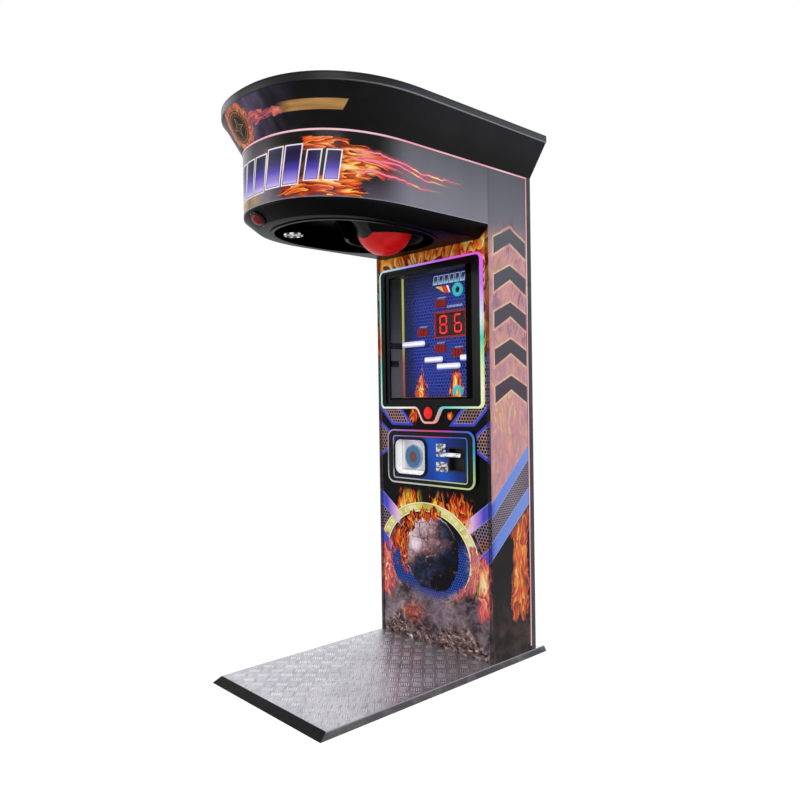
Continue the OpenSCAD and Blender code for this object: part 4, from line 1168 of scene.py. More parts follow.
@dataclass(frozen=True)
class Film(Finish):
    """Base of the printed films: a picture under a clear gloss laminate."""

    name: str
    roughness: float = 0.22
    shine: float = 0.12
    glow: float = 0.0

    def picture(self, g: Graph) -> Val:
        """The picture's colour."""
        raise NotImplementedError

    def paint(self, g: Graph, shader: bpy.types.Node) -> None:
        """Puts the picture under the laminate, which is faintly uneven."""
        place = g.object_place()
        picture = self.picture(g)
        skin = g.use(Effects.grain(), Place=place, Scale=0.5)
        worn = g.use(Effects.wear(), Place=place)
        g.set(
            shader,
            Base_Color=g.mix(worn["Dust"] * 0.04, picture, "#9a948c"),
            Roughness=(skin["Mottle"] * 0.1 + worn["Scuff"] * 0.12 + (self.roughness - 0.05)).clamp(),
            Normal=g.bump(skin["Height"], 0.03, 0.0003),
            Specular_IOR_Level=self.shine,
        )
        if self.glow > 0:
            g.set(shader, Emission_Color=picture, Emission_Strength=self.glow)


BLUE = "#464cc4"
BLUE_SIDE = "#6c86d8"


@dataclass(frozen=True)
class FrontFilm(Film):
    """Front panel: fire round the display, comb panels, and a burning ball in a halo below."""

    shade: float = 0.0

    def combs(self, c: Canvas) -> None:
        """Paints the bordered comb panels, the same on both sides."""
        side = c.a.absolute()
        foot = c.shape([(108, 986), (252, 988), (352, 1082), (352, 1140), (182, 1062)], side)
        strip = c.shape([(300, 1062), (352, 1062), (352, 1300), (300, 1258)], side)
        web = c.g.ramp(c.g.noise(c.metres, 6.0, 2.0, 0.5),
            [(0.3, "#8c6a6c"), (0.5, "#b08888"), (0.7, "#8d7f98")])
        c.comb_panel(foot.least(strip), 13.0, BLUE, web, "#120a10", 15.5)
        beside = c.shape([(352, 1022), (252, 951), (250, 885), (352, 829)], side)
        c.comb_panel(beside, 13.0, BLUE, web, "#120a10", 15.5)

    def between(self, c: Canvas) -> None:
        """Paints the comb between the slanted bands."""
        far = c.shape([(352, 660), (230, 565), (300, 450), (352, 490)], c.a.absolute())
        c.comb_panel(far, 0.0, BLUE, c.g.mix(c.b.step(460.0, 560.0), "#b8662e", "#8e7c90"), "#171016", 15.5)

    def bands(self, c: Canvas) -> None:
        """Paints the two slanted bands, blue outside and pale pink at their inner ends."""
        side = c.a.absolute()
        upper = c.shape([(356, 700), (356, 632), (196, 520), (180, 576)], side)
        lower = c.shape([(356, 524), (356, 452), (282, 384), (262, 438)], side)
        tone = c.g.ramp(side / 352.0, [(0.5, "#f6e8ee"), (0.64, "#eec8dc"), (0.74, "#b88ad8"), (0.84, BLUE),
            (1.0, "#5358cc")])
        torn = c.g.noise(c.metres, 26.0, 3.0, 0.6)
        for far in (upper, lower):
            kept = (side + (torn - 0.5) * 110.0).step(196.0, 232.0)
            c.paint(c.inside(far) * kept, tone)
            c.paint(c.line(far, -2.0, 1.2) * kept * 0.6, "#b4b8ff")

    def emblem(self, c: Canvas) -> None:
        """Paints the halo and the rock in its fire."""
        g = c.g
        centre = (-36.0, 407.0)
        far = c.disc(centre, 1.28)
        turn = g.math("ARCTAN2", c.b - centre[1], c.a - centre[0])
        swirl = g.noise(c.metres, 9.0, 4.0, 0.6)
        # inside the halo: dark above, a blue comb below
        comb = g.use(Effects.comb(), Place=c.place, Pitch=13.0, Wall=0.10)
        night = g.mix(comb["Hole"], "#2f5cc0", "#16245a")
        night = g.mix(c.b.step(420.0, 520.0), night, "#0d0c16")
        c.fill(far, night, 252.0, 2.0)
        # fire behind the halo, in three clusters with black between them
        heads = c.a.near(-160.0, 110.0, 30.0)
        heads = heads.most(c.a.near(30.0, 70.0, 16.0) * 0.9)
        heads = heads.most(c.a.near(165.0, 120.0, 30.0) * 0.8)
        c.fire(heads * c.b.step(750.0, 610.0) * 0.95, (0.05, 0.4), 2.1,
            mask=far.step(262.0, 282.0) * c.b.step(500.0, 560.0) * heads.step(0.1, 0.4))
        hot = g.noise(c.metres, 17.0, 3.0, 0.6, 0.6, stretch=(1.0, 0.45, 1.0))
        lick = c.a.near(-130.0, 75.0, 30.0).most(c.a.near(30.0, 50.0, 15.0))
        lick = lick * far.step(275.0, 290.0) * c.b.step(715.0, 640.0)
        c.paint(lick * hot.step(0.45, 0.52),
            g.ramp(hot, [(0.46, "#ee9a24"), (0.54, "#f2d234"), (0.66, "#f8f0a0")]))
        self.between(c)
        # halo: yellow with cream rims and notches
        halo = (far - 281.0).absolute()
        gold = g.ramp(swirl + (turn.absolute() - 1.57).absolute() * 0.06,
            [(0.35, "#b8a848"), (0.5, "#d8d06c"), (0.62, "#e8e09c"), (0.75, "#f4efcc")])
        c.fill(halo, gold, 26.0, 1.5)
        notch = g.math("SINE", turn * 44.0).step(0.45, 0.7) * g.math("SINE", turn * 3.0 + 0.6).step(-0.4, 0.1)
        c.paint(notch * c.inside(halo, 13.0, 1.5) * 0.6, "#faf7e4")
        c.paint(c.line(halo, 23.0, 2.4), "#f8f5cc")
        c.paint(c.line(halo, 17.0, 1.2) * 0.5, "#8a7a20")
        # pale pink haze at the halo's sides and foot, and small flames on it
        cloud = g.noise(c.metres, 12.0, 5.0, 0.65, 0.8)
        haze = far.near(285.0, 66.0, 5.0) * c.b.step(540.0, 430.0)
        c.paint(haze * cloud.step(0.44, 0.62) * 0.85,
            g.ramp(cloud, [(0.45, "#b06aa0"), (0.58, "#ecc0c8"), (0.7, "#fbf0ea")]))
        c.fire(haze * 0.66, (0.31, 0.12), 2.4, mask=c.b.step(560.0, 500.0), tint=(0.3, "#e89ab0"))
        c.fire(far.step(275.0, 225.0) * far.step(150.0, 215.0) * c.a.step(20.0, -90.0) * 0.46, (0.71, 0.32),
            2.4, mask=c.b.step(330.0, 400.0))
        # the rock, lit from above left
        bent = g.shake(c.metres, c.metres, (0.07, 0.07, 0.07), 10.0, 4.0, 0.6)
        bx, by, _ = g.split(g.vector("SCALE", bent, 1000.0))
        dx, dy = bx + 8.0, by - 425.0
        ball = g.math("SQRT", dx * dx + dy * dy)
        facet = g.grey(g.cells(g.vector("ADD", bent, (0.5, 0.31, 0.0)), 15.0, "SMOOTH_F1", "Color"))
        edge = g.cells(g.vector("ADD", bent, (0.5, 0.31, 0.0)), 15.0, "DISTANCE_TO_EDGE")
        grit = g.noise(c.metres, 60.0, 4.0, 0.7)
        light = dx * -0.0030 + dy * 0.0026 + (facet - 0.5) * 0.75 + (grit - 0.5) * 0.55 + 0.50 - ball * 0.0012
        skin = g.ramp(light, [(0.0, "#0c0c14"), (0.2, "#1a2036"), (0.34, "#343a50"), (0.46, "#6a4c50"),
            (0.58, "#a07c84"), (0.72, "#d0b4bc"), (0.9, "#f2e6ea")])
        body = c.inside(ball, 165.0, 2.0)
        c.paint(body, skin)
        c.paint(body * edge.step(0.035, 0.0) * 0.8, "#08080e")
        glow = edge.step(0.05, 0.012) * swirl.step(0.52, 0.62) * ball.step(150.0, 60.0).most(0.35)
        c.paint(body * glow, g.ramp(grit, [(0.35, "#b02c0c"), (0.55, "#ee8428"), (0.7, "#fbd868")]))
        c.paint(c.line(ball, 163.0, 2.6) * (dy - dx * 0.8).step(-60.0, 140.0) * 0.8,
            "#f6d0c4")
        c.fire(ball.near(176.0, 50.0, 4.0) * (dy * 0.7 - dx).step(-20.0, 150.0) * 0.62,
            (0.4, 0.1), 2.8)

    def ground(self, c: Canvas) -> None:
        """Paints smoke, rubble and embers along the foot."""
        g = c.g
        bent = g.shake(c.metres, c.metres, (0.16, 0.16, 0.16), 5.0, 4.0, 0.6)
        rough = g.noise(bent, 6.0, 6.0, 0.66)
        chips = g.noise(bent, 34.0, 5.0, 0.72, stretch=(1.0, 1.5, 1.0))
        smoke = g.ramp(rough * 0.7 + chips * 0.3,
            [(0.32, "#141014"), (0.42, "#40323a"), (0.50, "#75656c"), (0.58, "#9a8a90"), (0.68, "#d6cace")])
        line = c.b + (rough - 0.5) * 230.0 - c.a.absolute() * 0.10
        c.paint(line.step(272.0, 200.0), smoke)
        heap = c.a.absolute().near(150.0, 230.0, 40.0) * 110.0 + 30.0
        rubble = g.ramp(chips, [(0.36, "#0c090b"), (0.44, "#33262a"), (0.50, "#6e5248"), (0.56, "#7a6a74"),
            (0.62, "#c8a88c"), (0.72, "#efe6e0")])
        c.paint((heap + (rough - 0.5) * 160.0 - c.b).step(-10.0, 26.0) * 0.9, rubble)
        ember = c.disc((-120.0, 150.0), 1.7).step(120.0, 20.0) * rough.step(0.36, 0.6)
        c.paint(ember * 0.85, g.ramp(chips,
            [(0.36, "#3a0c0a"), (0.5, "#a8341c"), (0.62, "#e07a3c"), (0.74, "#f6c890")]))
        violet = c.disc((-20.0, 250.0), 0.9).step(150.0, 40.0) * rough.step(0.5, 0.62)
        c.paint(violet * 0.55, "#6a4a86")
        # upright flames at both sides
        side = c.a.absolute().near(300.0, 66.0, 12.0)
        side = side * c.b.step(150.0, 250.0) * c.b.step(480.0, 380.0)
        c.fire(side * 0.9, (0.2, 0.7), 1.9, tint=(0.28, "#e070a8"))
        thread = g.noise(c.metres, 24.0, 3.0, 0.6, 0.6, stretch=(1.0, 0.3, 1.0))
        c.paint(side * thread.step(0.54, 0.64) * 0.9,
            g.ramp(thread, [(0.54, "#e85a9c"), (0.6, "#f6c04a"), (0.7, "#fbf0dc")]))

    def picture(self, g: Graph) -> Val:
        """Builds the front's picture on x and z."""
        x, _, z = g.split(g.object_place())
        c = Canvas(g, x, z, "#0b090c")
        side = x.absolute()
        fuel = z.step(1060.0, 1300.0) * 0.34 + z.step(1480.0, 1700.0) * 0.42 + 0.26
        c.fire(fuel * z.step(1040.0, 1130.0), (0.13, 0.07), 1.35)
        left = c.disc((-108.0, 1028.0), 0.8).step(52.0, 8.0)
        c.fire(left.most(c.disc((118.0, 1034.0), 1.0).step(26.0, 4.0)) * 0.75, (0.7, 0.3), 1.7,
            mask=z.step(1072.0, 1056.0))
        self.combs(c)
        self.emblem(c)
        self.bands(c)
        self.ground(c)
        c.paint(z.step(700.0, 735.0) * z.step(1000.0, 960.0) * side.step(262.0, 250.0), "#0b090c")
        if self.shade > 0:
            c.paint(self.shade, "#060608")
        return c.colour


@dataclass(frozen=True)
class SideFilm(Film):
    """Side panels: rising arrowheads in pale fire, two bands with a dotted comb, and fire at the foot."""

    def picture(self, g: Graph) -> Val:
        """Builds the side's picture on y and z."""
        _, y, z = g.split(g.object_place())
        c = Canvas(g, y, z, "#6a6b76")
        soft = g.noise(c.metres, 1.6, 2.0, 0.5)
        c.colour = g.ramp((z - 1500.0) / 560.0 + (soft - 0.5) * 0.2,
            [(0.0, "#837d8a"), (0.4, "#777782"), (0.75, "#63646e"), (1.0, "#55565f")])
        # pale fire round the arrowheads and below them
        haze = g.noise(c.metres, 9.0, 5.0, 0.65, 0.9, stretch=(1.0, 0.5, 1.0))
        pink = g.ramp(haze, [(0.30, "#6a4c5e"), (0.42, "#96707c"), (0.52, "#b5848a"), (0.62, "#c8946e"),
            (0.72, "#d8be78")])
        c.paint((z + (haze - 0.5) * 260.0).step(1850.0, 1720.0) * 0.8, pink)
        warm = z.step(1480.0, 1080.0)
        made = c.fire(z.step(1840.0, 1700.0) * 0.44 + warm * 0.25, (0.2, 0.5), 1.9, draw=0.7,
            mask=z.step(1830.0, 1740.0) * 0.5, tint=(0.62, "#f0bcc6"))
        streak = made["Thread"].step(0.72, 0.95) * haze.step(0.46, 0.56)
        c.paint(streak * z.step(1800.0, 1500.0) * 0.55,
            g.mix(z.near(1060.0, 170.0, 30.0), "#d8a080", "#e6dc70"))
        # arrowheads in a burning outline
        half = (y - 430.0).absolute()
        edge: Optional[Val] = None
        for i in range(5):
            low = 1085.0 + i * 152.0
            arrow = c.shape([(-20, low + 66), (-20, low + 122), (104, low + 66), (104, low - 2)], half)
            edge = arrow if edge is None else edge.least(arrow)
        torn = edge + (haze - 0.5) * 34.0
        c.paint(c.line(torn, 2.0, 6.0, 3.0) * 0.8,
            g.ramp(haze, [(0.4, "#d09a8c"), (0.52, "#e8c0a4"), (0.64, "#f2e6b4")]))
        tone = g.ramp((z - 1050.0) / 800.0 + (soft - 0.5) * 0.2,
            [(0.0, "#4a3e4a"), (0.5, "#4e4a54"), (1.0, "#5c5d67")])
        c.fill(edge, tone, 0.0, 1.6)
        # ground below the lower band, with narrow rust-coloured flames
        foot = (y - 327.0) * 0.86 + 545.0
        dim = g.noise(c.metres, 6.0, 5.0, 0.6)
        c.paint((foot - z).step(-1.0, 1.0),
            g.ramp(dim, [(0.35, "#0e0a0d"), (0.6, "#1c1519"), (0.75, "#33262a")]))
        centre = (y - 470.0 + (soft - 0.5) * 60.0).absolute()
        c.fire(centre.step(92.0, 12.0) * z.step(120.0, 260.0) * 0.86, (0.33, 0.2), 2.3, draw=0.6,
            mask=(foot - 70.0 - z).step(-20.0, 50.0), tint=(0.34, "#cc6c50"))
        c.paint(z.step(260.0, 90.0) * dim.step(0.40, 0.66) * 0.6, "#6a5346")
        # dotted comb between the bands
        comb = g.use(Effects.comb(), Place=c.place, Pitch=10.5, Wall=0.14)
        back = y - S.y_face
        share = back / (S.y_back - S.y_face)
        top = 676.0 + back * 0.94
        between = (top - z).step(-1.0, 1.0) * (z - foot).step(-1.0, 1.0)
        c.paint(between, g.ramp(share, [(0.0, "#857a8a"), (0.5, "#9a909c"), (1.0, "#7c6d78")]))
        c.paint(between * comb["Hole"], "#43384a")
        # bands
        for start, slope, width in ((676.0, 0.94, 64.0), (517.0, 0.85, 72.0)):
            mid = z - back * slope - (start - width / 2)
            c.paint(c.inside(mid.absolute(), width / 2),
                g.ramp(share, [(0.0, "#4e5ccc"), (0.12, BLUE_SIDE), (1.0, "#7a94dc")]))
            c.paint(c.inside((mid.absolute() - width / 2 + 2.0).absolute(), 1.3) * 0.6, "#c0ccff")
        # seam shade against the corner trim
        c.paint(back.step(16.0, 0.0) * 0.25, "#3a3640")
        return c.colour


@dataclass(frozen=True)
class BandFilm(Film):
    """Band round the canopy: slanted speed bars, a fire comet and thin sparks over grey."""

    def sparks(self, c: Canvas) -> None:
        """Paints branching sparks that run back from the comet."""
        g = c.g
        drawn = g.vector("MULTIPLY", c.metres, (1.0, 0.2, 1.0))
        jitter = g.noise(drawn, 10.0, 3.0, 0.55)
        wide = g.noise(drawn, 4.0, 2.0, 0.5)
        courses = ((1962.0, -0.085, 62.0, 4.0, 930.0), (1936.0, -0.075, -50.0, 6.0, 860.0),
            (1904.0, -0.035, 54.0, -7.0, 800.0), (1948.0, -0.13, 40.0, -9.0, 640.0))
        for start, slope, swing, shift, last in courses:
            line = c.b - start - (c.a - 400.0) * slope
            line = line - (jitter - 0.5) * swing * 0.9 - (wide - 0.5) * 48.0 - shift
            along = c.a.step(350.0, 430.0) * c.a.step(last, last - 200.0)
            c.paint(line.absolute().step(15.0, 2.0) * along * 0.5, "#c84868")
            c.paint(line.absolute().step(3.8, 1.2) * along,
                g.ramp(wide, [(0.36, "#f088a4"), (0.46, "#fbe68a"), (0.54, "#f4809a"), (0.66, "#f08a9c")]))

    def picture(self, g: Graph) -> Val:
        """Builds the band's picture on the arc length and z."""
        a, b = g.map_place("arc")
        c = Canvas(g, a, b, "#70727e")
        up = (b - S.z_band) / 235.0
        drift = g.noise(c.metres, 3.0, 3.0, 0.5, stretch=(3.0, 0.6, 1.0))
        c.colour = g.ramp(up + (drift - 0.5) * 0.4,
            [(0.0, "#7c7b88"), (0.35, "#74747f"), (0.7, "#676872"), (1.0, "#5b5b64")])
        dark = g.ramp(up, [(0.0, "#4c4454"), (0.28, "#221c24"), (0.55, "#0c090b"), (1.0, "#060506")])
        c.paint(a.step(640.0, 470.0), dark)
        front = a.step(110.0, 10.0)
        c.paint(front * 0.9, g.ramp(up + (drift - 0.5) * 0.3,
            [(0.0, "#7a7280"), (0.3, "#86807f"), (0.55, "#5e565a"), (1.0, "#3a363c")]))
        # painted silver sheen on the upper band, left of the nose
        c.paint(a.near(-230.0, 230.0, 30.0) * up.step(0.25, 0.7) * 0.6, "#b9bcc6")
        # comet: three swarms of flat streaks, hottest in the middle one
        top = b.near(1992.0, 36.0, 6.0) * a.step(175.0, 230.0) * a.step(410.0, 330.0)
        low = b.near(1842.0, 52.0, 10.0) * a.step(80.0, 160.0) * a.step(470.0, 360.0)
        heart = c.disc((400.0, 1928.0), 1.35).step(135.0, 20.0)
        trail = b.near(1930.0, 80.0, 14.0) * a.step(380.0, 420.0) * a.step(600.0, 440.0)
        fuel = (top * 0.74).most(low * 0.84).most(heart * 1.0).most(trail * 0.78)
        c.fire(fuel, (0.1, 0.62), 2.6, sideways=True, draw=0.42, mask=a.step(80.0, 130.0))
        hot = g.noise(c.metres, 30.0, 3.0, 0.6, 0.4, stretch=(0.3, 1.4, 1.0))
        c.paint(heart.step(0.35, 0.9) * hot.step(0.46, 0.6) * 0.8,
            g.ramp(hot, [(0.48, "#ee9a3e"), (0.6, "#f8d880"), (0.7, "#fdf2cc")]))
        gilt = b.near(1832.0, 24.0, 18.0) * a.step(40.0, -40.0) * a.step(-300.0, -200.0)
        c.paint(gilt * 0.7, g.ramp(drift, [(0.35, "#6a5230"), (0.5, "#b8965a"), (0.7, "#dcc68c")]))
        warm = b.near(1920.0, 86.0, 20.0) * a.near(130.0, 140.0, 70.0)
        c.paint(warm * 0.8, g.ramp(g.noise(c.metres, 8.0, 3.0, 0.5),
            [(0.35, "#2e1c1a"), (0.5, "#7a4c3c"), (0.62, "#c09a5c"), (0.72, "#dcc88c")]))
        self.sparks(c)
        # slanted bars, narrow at the front and wide to the back
        lean = 0.16
        bars = ((-330, 24), (-292, 26), (-250, 30), (-204, 34), (-152, 40), (-92, 48), (-24, 54), (50, 58),
            (128, 54), (214, 40), (282, 42))
        far: Optional[Val] = None
        for start, width in bars:
            if start < 40:
                low, high = 1853.0, 1973.0
            elif start < 200:
                low, high = 1858.0, 1983.0
            else:
                low, high = 1868.0, 1962.0
            shift = lean * (high - low)
            bar = c.shape([(start, low), (start + width, low), (start + width + shift, high),
                (start + shift, high)])
            far = bar if far is None else far.least(bar)
        c.fill(far, "#f4ecf6", 7.0)
        c.fill(far, "#241a4c", 3.0)
        tone = g.ramp((b - 1850.0) / 135.0, [(0.0, "#d8ccf4"), (0.16, "#9a86d8"), (0.42, "#4c3aa8"),
            (0.62, "#241c58"), (0.85, "#15122c"), (1.0, "#2a2450")])
        c.fill(far, tone, 0.5)
        c.paint(b.step(1812.0, 1806.5) * 0.25, "#c6c4d2")
        return c.colour


@dataclass(frozen=True)
class CrownFilm(Film):
    """Crown: black with a fire wreath at the front, purple smoke and a plain gold stripe."""

    def picture(self, g: Graph) -> Val:
        """Builds the crown's picture on the arc length and z."""
        a, b = g.map_place("arc")
        c = Canvas(g, a, b, "#070608")
        # painted light: the black lightens towards the right and back, and upwards
        c.colour = g.mix(a.step(330.0, 800.0), "#060507",
            g.mix((b - 2041.0).step(0.0, 120.0), "#111113", "#1d1d20"))
        smoke = g.noise(c.metres, 5.0, 4.0, 0.6, 0.5)
        violet = a.near(40.0, 170.0, 30.0) * smoke.step(0.34, 0.64)
        c.paint(violet * 0.85, g.ramp(smoke, [(0.35, "#2c2638"), (0.55, "#5a4c6a"), (0.75, "#8a7898")]))
        # painted lavender-grey sheen left of the nose
        c.paint(a.step(-150.0, -300.0) * 0.5, "#3c3848")
        # medallion: a dark disc with a dull ring, a star in it and thin fire round it
        middle = (-76.0, 2102.0)
        far = c.disc(middle, 1.12)
        c.fire(far.near(66.0, 34.0, 3.0) * 0.7, (0.2, 0.35), 3.4, tint=(0.42, "#9a7468"))
        c.fill(far, "#1a100e", 58.0)
        c.paint(c.line(far, 52.0, 3.0), "#8a5a38")
        c.paint(c.line(far, 40.0, 1.5), "#6a4630")
        turn = g.math("ARCTAN2", (b - middle[1]) * 1.12, a - middle[0])
        c.paint(c.line(far, 46.0, 2.4) * g.math("SINE", turn * 26.0).step(0.0, 0.5),
            "#7a5034")
        da, db = (a - middle[0]).absolute(), (b - middle[1]).absolute() * 1.12
        star = (da + db * 3.2).least(da * 3.2 + db) - 34.0
        c.fill(star, "#b87c46", 2.0)
        c.fill(star, "#3a221a", -4.0)
        trail = b.near(2106.0, 34.0, 4.0) * a.step(-30.0, 30.0) * a.step(190.0, 110.0)
        c.fire(trail * 0.62, (0.8, 0.1), 3.0, sideways=True, draw=0.6, tint=(0.5, "#a86078"))
        # gold stripe, cut at a slant
        stripe = c.shape([(130, 2092), (344, 2092), (360, 2122), (130, 2122)])
        fibre = g.noise(c.metres, 20.0, 2.0, 0.5, stretch=(0.3, 3.0, 1.0))
        gold = g.ramp(fibre, [(0.3, "#8f6436"), (0.6, "#ae8450"), (0.8, "#c29a60")])
        c.paint(c.inside(stripe) * a.step(120.0, 190.0), gold)
        return c.colour


@dataclass(frozen=True)
class ScoreFilm(Film):
    """Lit panel behind the glass: a blue comb, a title bar of plain shapes, rails and fire at the foot."""

    def picture(self, g: Graph) -> Val:
        """Builds the panel's picture on x and z."""
        x, _, z = g.split(g.object_place())
        c = Canvas(g, x, z, "#141c6c")
        comb = g.use(Effects.comb(), Place=c.place, Pitch=17.0, Wall=0.08)
        fall = g.noise(c.metres, 3.0, 2.0, 0.5)
        blue = g.mix(fall.step(0.3, 0.7), "#0c1448", "#121a66")
        c.colour = g.mix(comb["Hole"], "#324ab6", blue)
        c.paint(z.step(1520.0, 1650.0) * 0.75, "#0a0d2a")
        c.paint(x.step(-150.0, -215.0) * 0.7, "#20242c")
        # row of slanted blocks along the top
        for i in range(7):
            x0 = -52.0 + i * 33.0
            block = c.shape([(x0, 1618), (x0 + 22, 1618), (x0 + 29, 1652), (x0 + 7, 1652)])
            c.fill(block, "#c8d4ec", 2.5)
            c.paint(c.inside(block), g.ramp((z - 1618.0) / 34.0,
                [(0.0, "#7ac0e0"), (0.5, "#23305c"), (1.0, "#0f1c50")]))
        # wings of three stripes beside the ring lamp
        wing = c.shape([(52, 1574), (40, 1606), (-36, 1606), (18, 1574)])
        other = c.shape([(144, 1574), (156, 1606), (232, 1606), (178, 1574)])
        both = wing.least(other)
        stripes = g.ramp((x - 98.0).absolute() / 130.0 + (z - 1574.0) * -0.004,
            [(0.0, "#f2ead8"), (0.40, "#f2ead8"), (0.42, "#c8381c"), (0.62, "#c8381c"), (0.64, "#e8a83c"),
            (0.8, "#e8a83c"), (0.82, "#f6e8c0"), (1.0, "#f6e8c0")])
        c.fill(both, stripes)
        # short dashes above each display
        dash = g.math("SINE", x * 0.75).step(-0.4, 0.1)
        rows = ((75.0, 1512.0, 46.0, 5.0), (0.0, 1555.0, 26.0, 2.9), (-118.0, 1434.0, 24.0, 2.9),
            (-8.0, 1355.0, 24.0, 2.9), (96.0, 1331.0, 24.0, 2.9))
        for cx, cz, half, tall in rows:
            row = x.near(cx, half + 0.5, half - 0.5)
            row = row * z.near(cz, tall + 0.5, tall - 0.5)
            c.paint(row * dash * 0.8, "#b8c4e4")
        c.paint(c.inside(c.disc((98.0, 1580.0)), 16.0), "#080c24")
        # dark rails that carry the light bars
        rail = c.shape([(-240, 1340), (-80, 1340), (-80, 1352), (-240, 1352)])
        rail = rail.least(c.shape([(-94, 1262), (20, 1262), (20, 1274), (-94, 1274)]))
        rail = rail.least(c.shape([(0, 1234), (190, 1234), (190, 1242), (0, 1242)]))
        c.paint(c.inside(rail) * 0.7, "#060818")
        # two narrow fires at the foot
        left = (x + 140.0 - (z - 1110.0) * 0.05).absolute() + (z - 1110.0) * 0.30
        right = (x - 82.0 + (z - 1110.0) * 0.05).absolute() + (z - 1110.0) * 0.36
        c.fire(left.step(66.0, 10.0).most(right.step(82.0, 14.0)), (0.6, 0.25), 3.4, draw=0.7,
            mask=z.step(1290.0, 1240.0))
        return c.colour


@dataclass(frozen=True)
class DishPrint(Film):
    """Card reader disc: rings of turquoise, purple and dark red round a plain centre."""

    def picture(self, g: Graph) -> Val:
        """Builds the rings from the distance to the disc's middle."""
        x, _, z = g.split(g.object_place())
        c = Canvas(g, x, z, "#2b8ea4")
        far = c.disc((-118.0, 846.0))
        cloud = g.noise(c.metres, 40.0, 3.0, 0.5)
        c.colour = g.ramp(far / 55.0 + (cloud - 0.5) * 0.22,
            [(0.0, "#5c5a3c"), (0.16, "#7a3a2c"), (0.30, "#6a4034"), (0.42, "#4c4c74"), (0.55, "#2a7f98"),
            (0.70, "#3f6ca0"), (0.78, "#6c4a8c"), (0.88, "#3d8ea6"), (1.0, "#8ab4c4")])
        return c.colour


@dataclass(frozen=True)
class DoorFace(Finish):
    """Coin door: glossy black round a blue panel, told apart by the panel's own depth."""

    name: str = "door"
    panel_y: float = 279.6

    def paint(self, g: Graph, shader: bpy.types.Node) -> None:
        """Paints the recessed panel blue and the rest black."""
        place = g.object_place()
        x, y, z = g.split(place)
        c = Canvas(g, x, z, "#0a0a0c")
        panel = c.shape([(-229, 747), (229, 747), (229, 942), (-229, 942)])
        skin = g.use(Effects.grain(), Place=place, Scale=1.0)
        deep = (y - self.panel_y).step(0.0, 0.4)
        across = (x + (z - S.coin_mid) * 0.4 + 230.0) / 460.0
        blue = g.ramp(across + (skin["Mottle"] - 0.5) * 0.12,
            [(0.0, "#0c1c58"), (0.45, "#143a94"), (0.62, "#1a56c0"), (0.8, "#12307c"), (1.0, "#0a1a4a")])
        c.paint(c.inside(panel) * deep, blue)
        g.set(
            shader,
            Base_Color=c.colour,
            Roughness=skin["Mottle"] * 0.12 + 0.16,
            Normal=g.bump(skin["Height"], 0.04, 0.0003),
            Specular_IOR_Level=0.12,
        )


@dataclass(frozen=True)
class LampFace(Finish):
    """Lamps on the lit panel: white light bars and turquoise rings."""

    name: str = "lamps"

    def paint(self, g: Graph, shader: bpy.types.Node) -> None:
        """Tells bars and rings apart by how far they stand out."""
        place = g.object_place()
        x, y, z = g.split(place)
        bar = (S.score_y - 12.0 - y).step(0.0, 2.0)
        left = x.step(-92.5, -93.5)
        # height of each bar's middle, mixed as the first number of a vector
        middle = g.mix(left, g.join(z.step(1263.5, 1264.5) * 32.5 + 1248.0, 0.0), (1357.0, 0.0, 0.0, 1.0))
        high, _, _ = g.split(middle)
        local = (z - high + 12.5) / 25.0
        tone = g.ramp(local, [(0.0, "#8e86c2"), (0.22, "#b2acdc"), (0.36, "#f0eef8"), (0.7, "#fbfaff"),
            (1.0, "#dcdaf0")])
        dots = g.math("SINE", x * 1.25).step(0.1, 0.5) * local.step(0.62, 0.68) * local.step(0.98, 0.92)
        tone = g.mix(dots * 0.75, tone, "#6e6a94")
        glow = g.mix(bar, "#2fb4c0", tone)
        ring = g.math("SINE", z * 1.3) * 0.5 + 0.5
        g.set(
            shader,
            Base_Color=g.mix(0.4, glow, "#202028"),
            Emission_Color=glow,
            Emission_Strength=0.72,
            Roughness=ring * 0.1 + 0.25,
            Specular_IOR_Level=0.2,
        )


